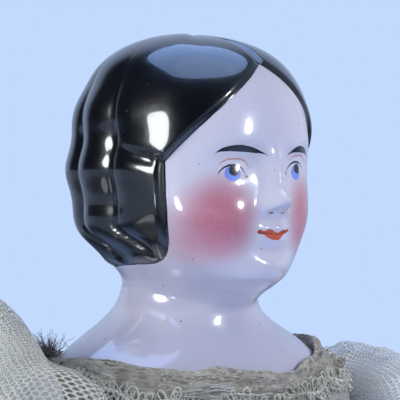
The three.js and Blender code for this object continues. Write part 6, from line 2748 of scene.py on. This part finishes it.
def build_dress(kit: Kit) -> None:
    """Make the dress and what is worn under it.

    Args:
        kit: The finishes and the tool that repeats.
    """
    needle, white_needle = Seamstress(kit.repeat, kit.dark_thread), Seamstress(kit.repeat, kit.thread, 2.6)
    neckline, bodice, drawers = Neckline(), Bodice(), Drawers()
    hang(neckline.band(kit.crape), "doll", "crape", "neck_band")
    for trim in neckline.braid(kit.repeat, kit.braid):
        settle(trim, "doll", "braid", "neck_braid")
    settle(neckline.fray(kit.repeat, kit.fray), "doll", "crape")
    settle(neckline.selvedge(kit.selvedge), "doll", "crape")
    for name, panel in bodice.build(kit.silk, needle).items():
        hang(panel, "doll", "crape", name)
    for number in range(1, 5):
        level = mix(414.0, 345.0, (number - 0.4) / 4)
        place = np.array([3.0, bodice.reach_behind(level) + 0.15, level])
        button = ChinaButton().build(f"china_button_{number}", place, kit.button)
        settle(button, "doll", "button", f"back_button_{number}")
    for side, top in ((Side.LEFT, 443.5), (Side.RIGHT, 471.0)):
        sleeve, body = Sleeve(side, top), f"arm_{side.word}"
        hang(sleeve.net(kit.net), body, "net", f"sleeve_puff_{side.word}")
        hang(sleeve.lining(kit.gauze), body, "cotton", f"sleeve_lining_{side.word}")
        hang(SleeveBand().build(side, kit.cotton), body, "net", f"sleeve_band_{side.word}")
    hang(Waistband().build(kit.silk), "doll", "crape", "waistband")
    skirt = Bell("crape_skirt", 5.4, 151.0, 145.5, 0.0, 23, 5.6, 80, tucks=(24.0, 32.0))
    cloth = hang(skirt.build(kit.silk), "doll", "crape", "skirt")
    needle.run("skirt_hem_stitches", *skirt.hem_line(cloth, 9.0), "doll", 31, closed=True)
    petticoat = Bell(
        "cotton_petticoat", 2.1, 139.0, 133.0, 9.0, 15, 3.0, 90, pleat=0.2, columns=336, rows=60, gauge=0.4,
        tucks=(20.0, 25.0, 30.0), scallop=3.0,
    )
    cloth = hang(petticoat.build(kit.cotton), "doll", "cotton", "petticoat")
    white_needle.run("petticoat_hem_stitches", *petticoat.hem_line(cloth, 9.5), "doll", 32, closed=True)
    hang(drawers.top(kit.cotton), "doll", "cotton", "drawers_waist")
    for side in Side:
        hang(drawers.one_leg(side, kit.cotton), f"thigh_{side.word}", "cotton", f"drawers_leg_{side.word}")


# The photographer's table


@dataclass(frozen=True)
class Studio:
    """The pale blue sweep, the two softboxes and the camera that the doll is seen by."""

    sweep: Colour = paint(195, 218, 255)
    sweep_right: Colour = paint(197, 220, 255)
    room_low: Colour = paint(186, 184, 206)
    reaches: tuple[float, ...] = (138, 400, 1600, 90000)
    turn: float = math.radians(-42)
    distance: float = 0.6
    lens: float = 150.0
    look: tuple[float, float, float] = (0.00308, -0.00277, 0.5)

    def build(self) -> None:
        """Set up the sweep, the lights, the world and the camera."""
        self.lay_sweep()
        self.hang_lights()
        self.light_room()
        self.place_camera()

    def lay_sweep(self) -> None:
        """Lay the pale floor, which keeps the doll's shadow and fades into the backdrop's colour far out."""
        material, graph, surface = new_finish("sweep_paper")
        place = graph.place()
        across, depth, _ = graph.parts(place)
        grain = graph.times(graph.noise(place, 90.0, 3.0), 0.5)
        graph.feed(surface, {"Base Color": graph.blend(grain, self.sweep, self.sweep_right), "Roughness": 0.9})
        seen = graph.add("LightPath").outputs
        camera, mirror = seen["Is Camera Ray"], seen["Is Glossy Ray"]
        bare = graph.math("MAXIMUM", camera, graph.math("MAXIMUM", mirror, seen["Is Transmission Ray"]))
        away = graph.math("SQRT", graph.squares(across, depth))
        open_floor = graph.math("MAXIMUM", graph.line(camera, 0.55, 0.1), graph.step(away, 0.25, 1.3))
        unlit = graph.line(graph.step(away, 1.2, 3.0), 0.45, -0.9)
        glow = graph.add("Emission", {"Color": self.sweep, "Strength": graph.line(mirror, unlit, 1.0)}).outputs[0]
        lit = {0: graph.times(bare, open_floor), 1: surface.outputs[0], 2: glow}
        seen_from_above = graph.add("MixShader", lit).outputs[0]
        clear = graph.add("BsdfTransparent").outputs[0]
        below = graph.add("NewGeometry").outputs["Backfacing"]
        paper = graph.add("MixShader", {0: below, 1: seen_from_above, 2: clear}).outputs[0]
        graph.feed(material.node_tree.nodes["Material Output"], {0: paper})
        turns = circle(64)
        rings = np.array([
            np.stack([np.cos(turns) * reach * 1.03, np.sin(turns) * reach, np.full_like(turns, -0.5)], -1)
            for reach in self.reaches
        ])
        new_piece("paper_sweep", rings, grid_faces(len(rings), 64, Lay.ROUND, turned=True), material)

    def hang_lights(self) -> None:
        """Hang a large lamp on the left, small ones on the right and above, and cards that only the glaze mirrors."""
        self.softbox("left_softbox", -92.0, 16.0, 0.80, (0.36, 0.32), 3.9)
        self.softbox("low_reflector", -76.0, -9.0, 0.80, (0.09, 0.09), 0.32).visible_diffuse = False
        self.softbox("right_softbox", 12.0, 11.0, 1.25, (0.2, 0.2), 4.2)
        self.softbox("overhead_softbox", -30.0, 78.0, 1.1, (0.9, 0.7), 0.45)
        fill = self.softbox("right_fill", 74.0, 12.0, 1.1, (0.7, 0.7), 5.1)
        fill.visible_glossy = False
        fill.data.color = (1.0, 0.95, 0.96)
        window = self.softbox("ceiling_window", 170.0, 86.0, 1.2, (1.5, 1.5), 16.5)
        window.visible_diffuse = False
        window.data.color = (0.34, 0.53, 1.0)
        self.softbox("table_card", -104.0, -24.0, 0.9, (0.3, 0.3), 0.35).visible_diffuse = False

    def light_room(self) -> None:
        """Light the room round the table: pale to the eye, and dim behind the doll where the glaze mirrors it."""
        world = bpy.data.worlds.new("pale_room")
        bpy.context.scene.world = world
        world.use_nodes = True
        graph = Graph(world.node_tree)
        rays = graph.add("LightPath").outputs
        mirrored, seen = rays["Is Glossy Ray"], rays["Is Camera Ray"]
        direction = graph.add("TexCoord").outputs["Generated"]
        right, back = (math.cos(self.turn), math.sin(self.turn), 0.0), (-math.sin(self.turn), math.cos(self.turn), 0.0)
        aside, ahead = (graph.measure("DOT_PRODUCT", direction, way) for way in (right, back))
        dim = graph.times(mirrored, graph.line(graph.step(aside, 0.05, 0.85), 0.42, 0.03))
        backdrop = graph.times(graph.times(graph.step(ahead, 0.45, 0.7), mirrored), 0.7)
        lit = graph.line(graph.minus(1.0, mirrored), 0.58, dim)
        lit = graph.math("MAXIMUM", lit, graph.math("MAXIMUM", seen, backdrop))
        low = graph.step(graph.parts(direction)[2], -0.5, 0.6)
        plain = graph.math("MAXIMUM", seen, graph.math("GREATER_THAN", backdrop, 0.3))
        colour = graph.blend(plain, graph.blend(low, self.room_low, self.sweep), self.sweep)
        graph.feed(world.node_tree.nodes["Background"], {"Color": colour, "Strength": lit})

    def softbox(
        self, name: str, turn: float, rise: float, distance: float, size: tuple[float, float], power: float,
    ) -> Piece:
        """Hang one softbox round the head.

        Args:
            name: The lamp's name.
            turn: Degrees round from the doll's face, towards its left.
            rise: Degrees above the head.
            distance: Metres from the head.
            size: Width and height in metres.
            power: Watts.

        Returns:
            The lamp's object.
        """
        lamp = bpy.data.lights.new(name, "AREA")
        lamp.shape = "ELLIPSE"
        lamp.size, lamp.size_y = size
        lamp.energy = power
        lamp.color = (0.93, 0.97, 1.0)
        holder = bpy.data.objects.new(name, lamp)
        bpy.context.scene.collection.objects.link(holder)
        a, e = math.radians(turn), math.radians(rise)
        out = Vector((math.sin(a) * math.cos(e), -math.cos(a) * math.cos(e), math.sin(e)))
        holder.location = Vector((0.0, 0.0, self.look[2])) + out * distance
        holder.rotation_euler = out.to_track_quat("Z", "Y").to_euler()
        return holder

    def place_camera(self) -> None:
        """Set the camera where the photograph was taken from."""
        lens = bpy.data.cameras.new("camera")
        lens.lens = self.lens
        lens.sensor_width = 36.0
        camera = bpy.data.objects.new("camera", lens)
        bpy.context.scene.collection.objects.link(camera)
        out = Vector((math.sin(self.turn), -math.cos(self.turn), 0.0))
        camera.location = Vector(self.look) + out * self.distance
        camera.rotation_euler = out.to_track_quat("Z", "Y").to_euler()
        bpy.context.scene.camera = camera
        bpy.context.scene.view_settings.view_transform = "Standard"


def main() -> None:
    """Build the doll part by part, and then the table that it stands on."""
    kit = Kit()
    build_china(kit)
    build_body(kit)
    build_dress(kit)
    Studio().build()


if __name__ == "__main__":
    main()
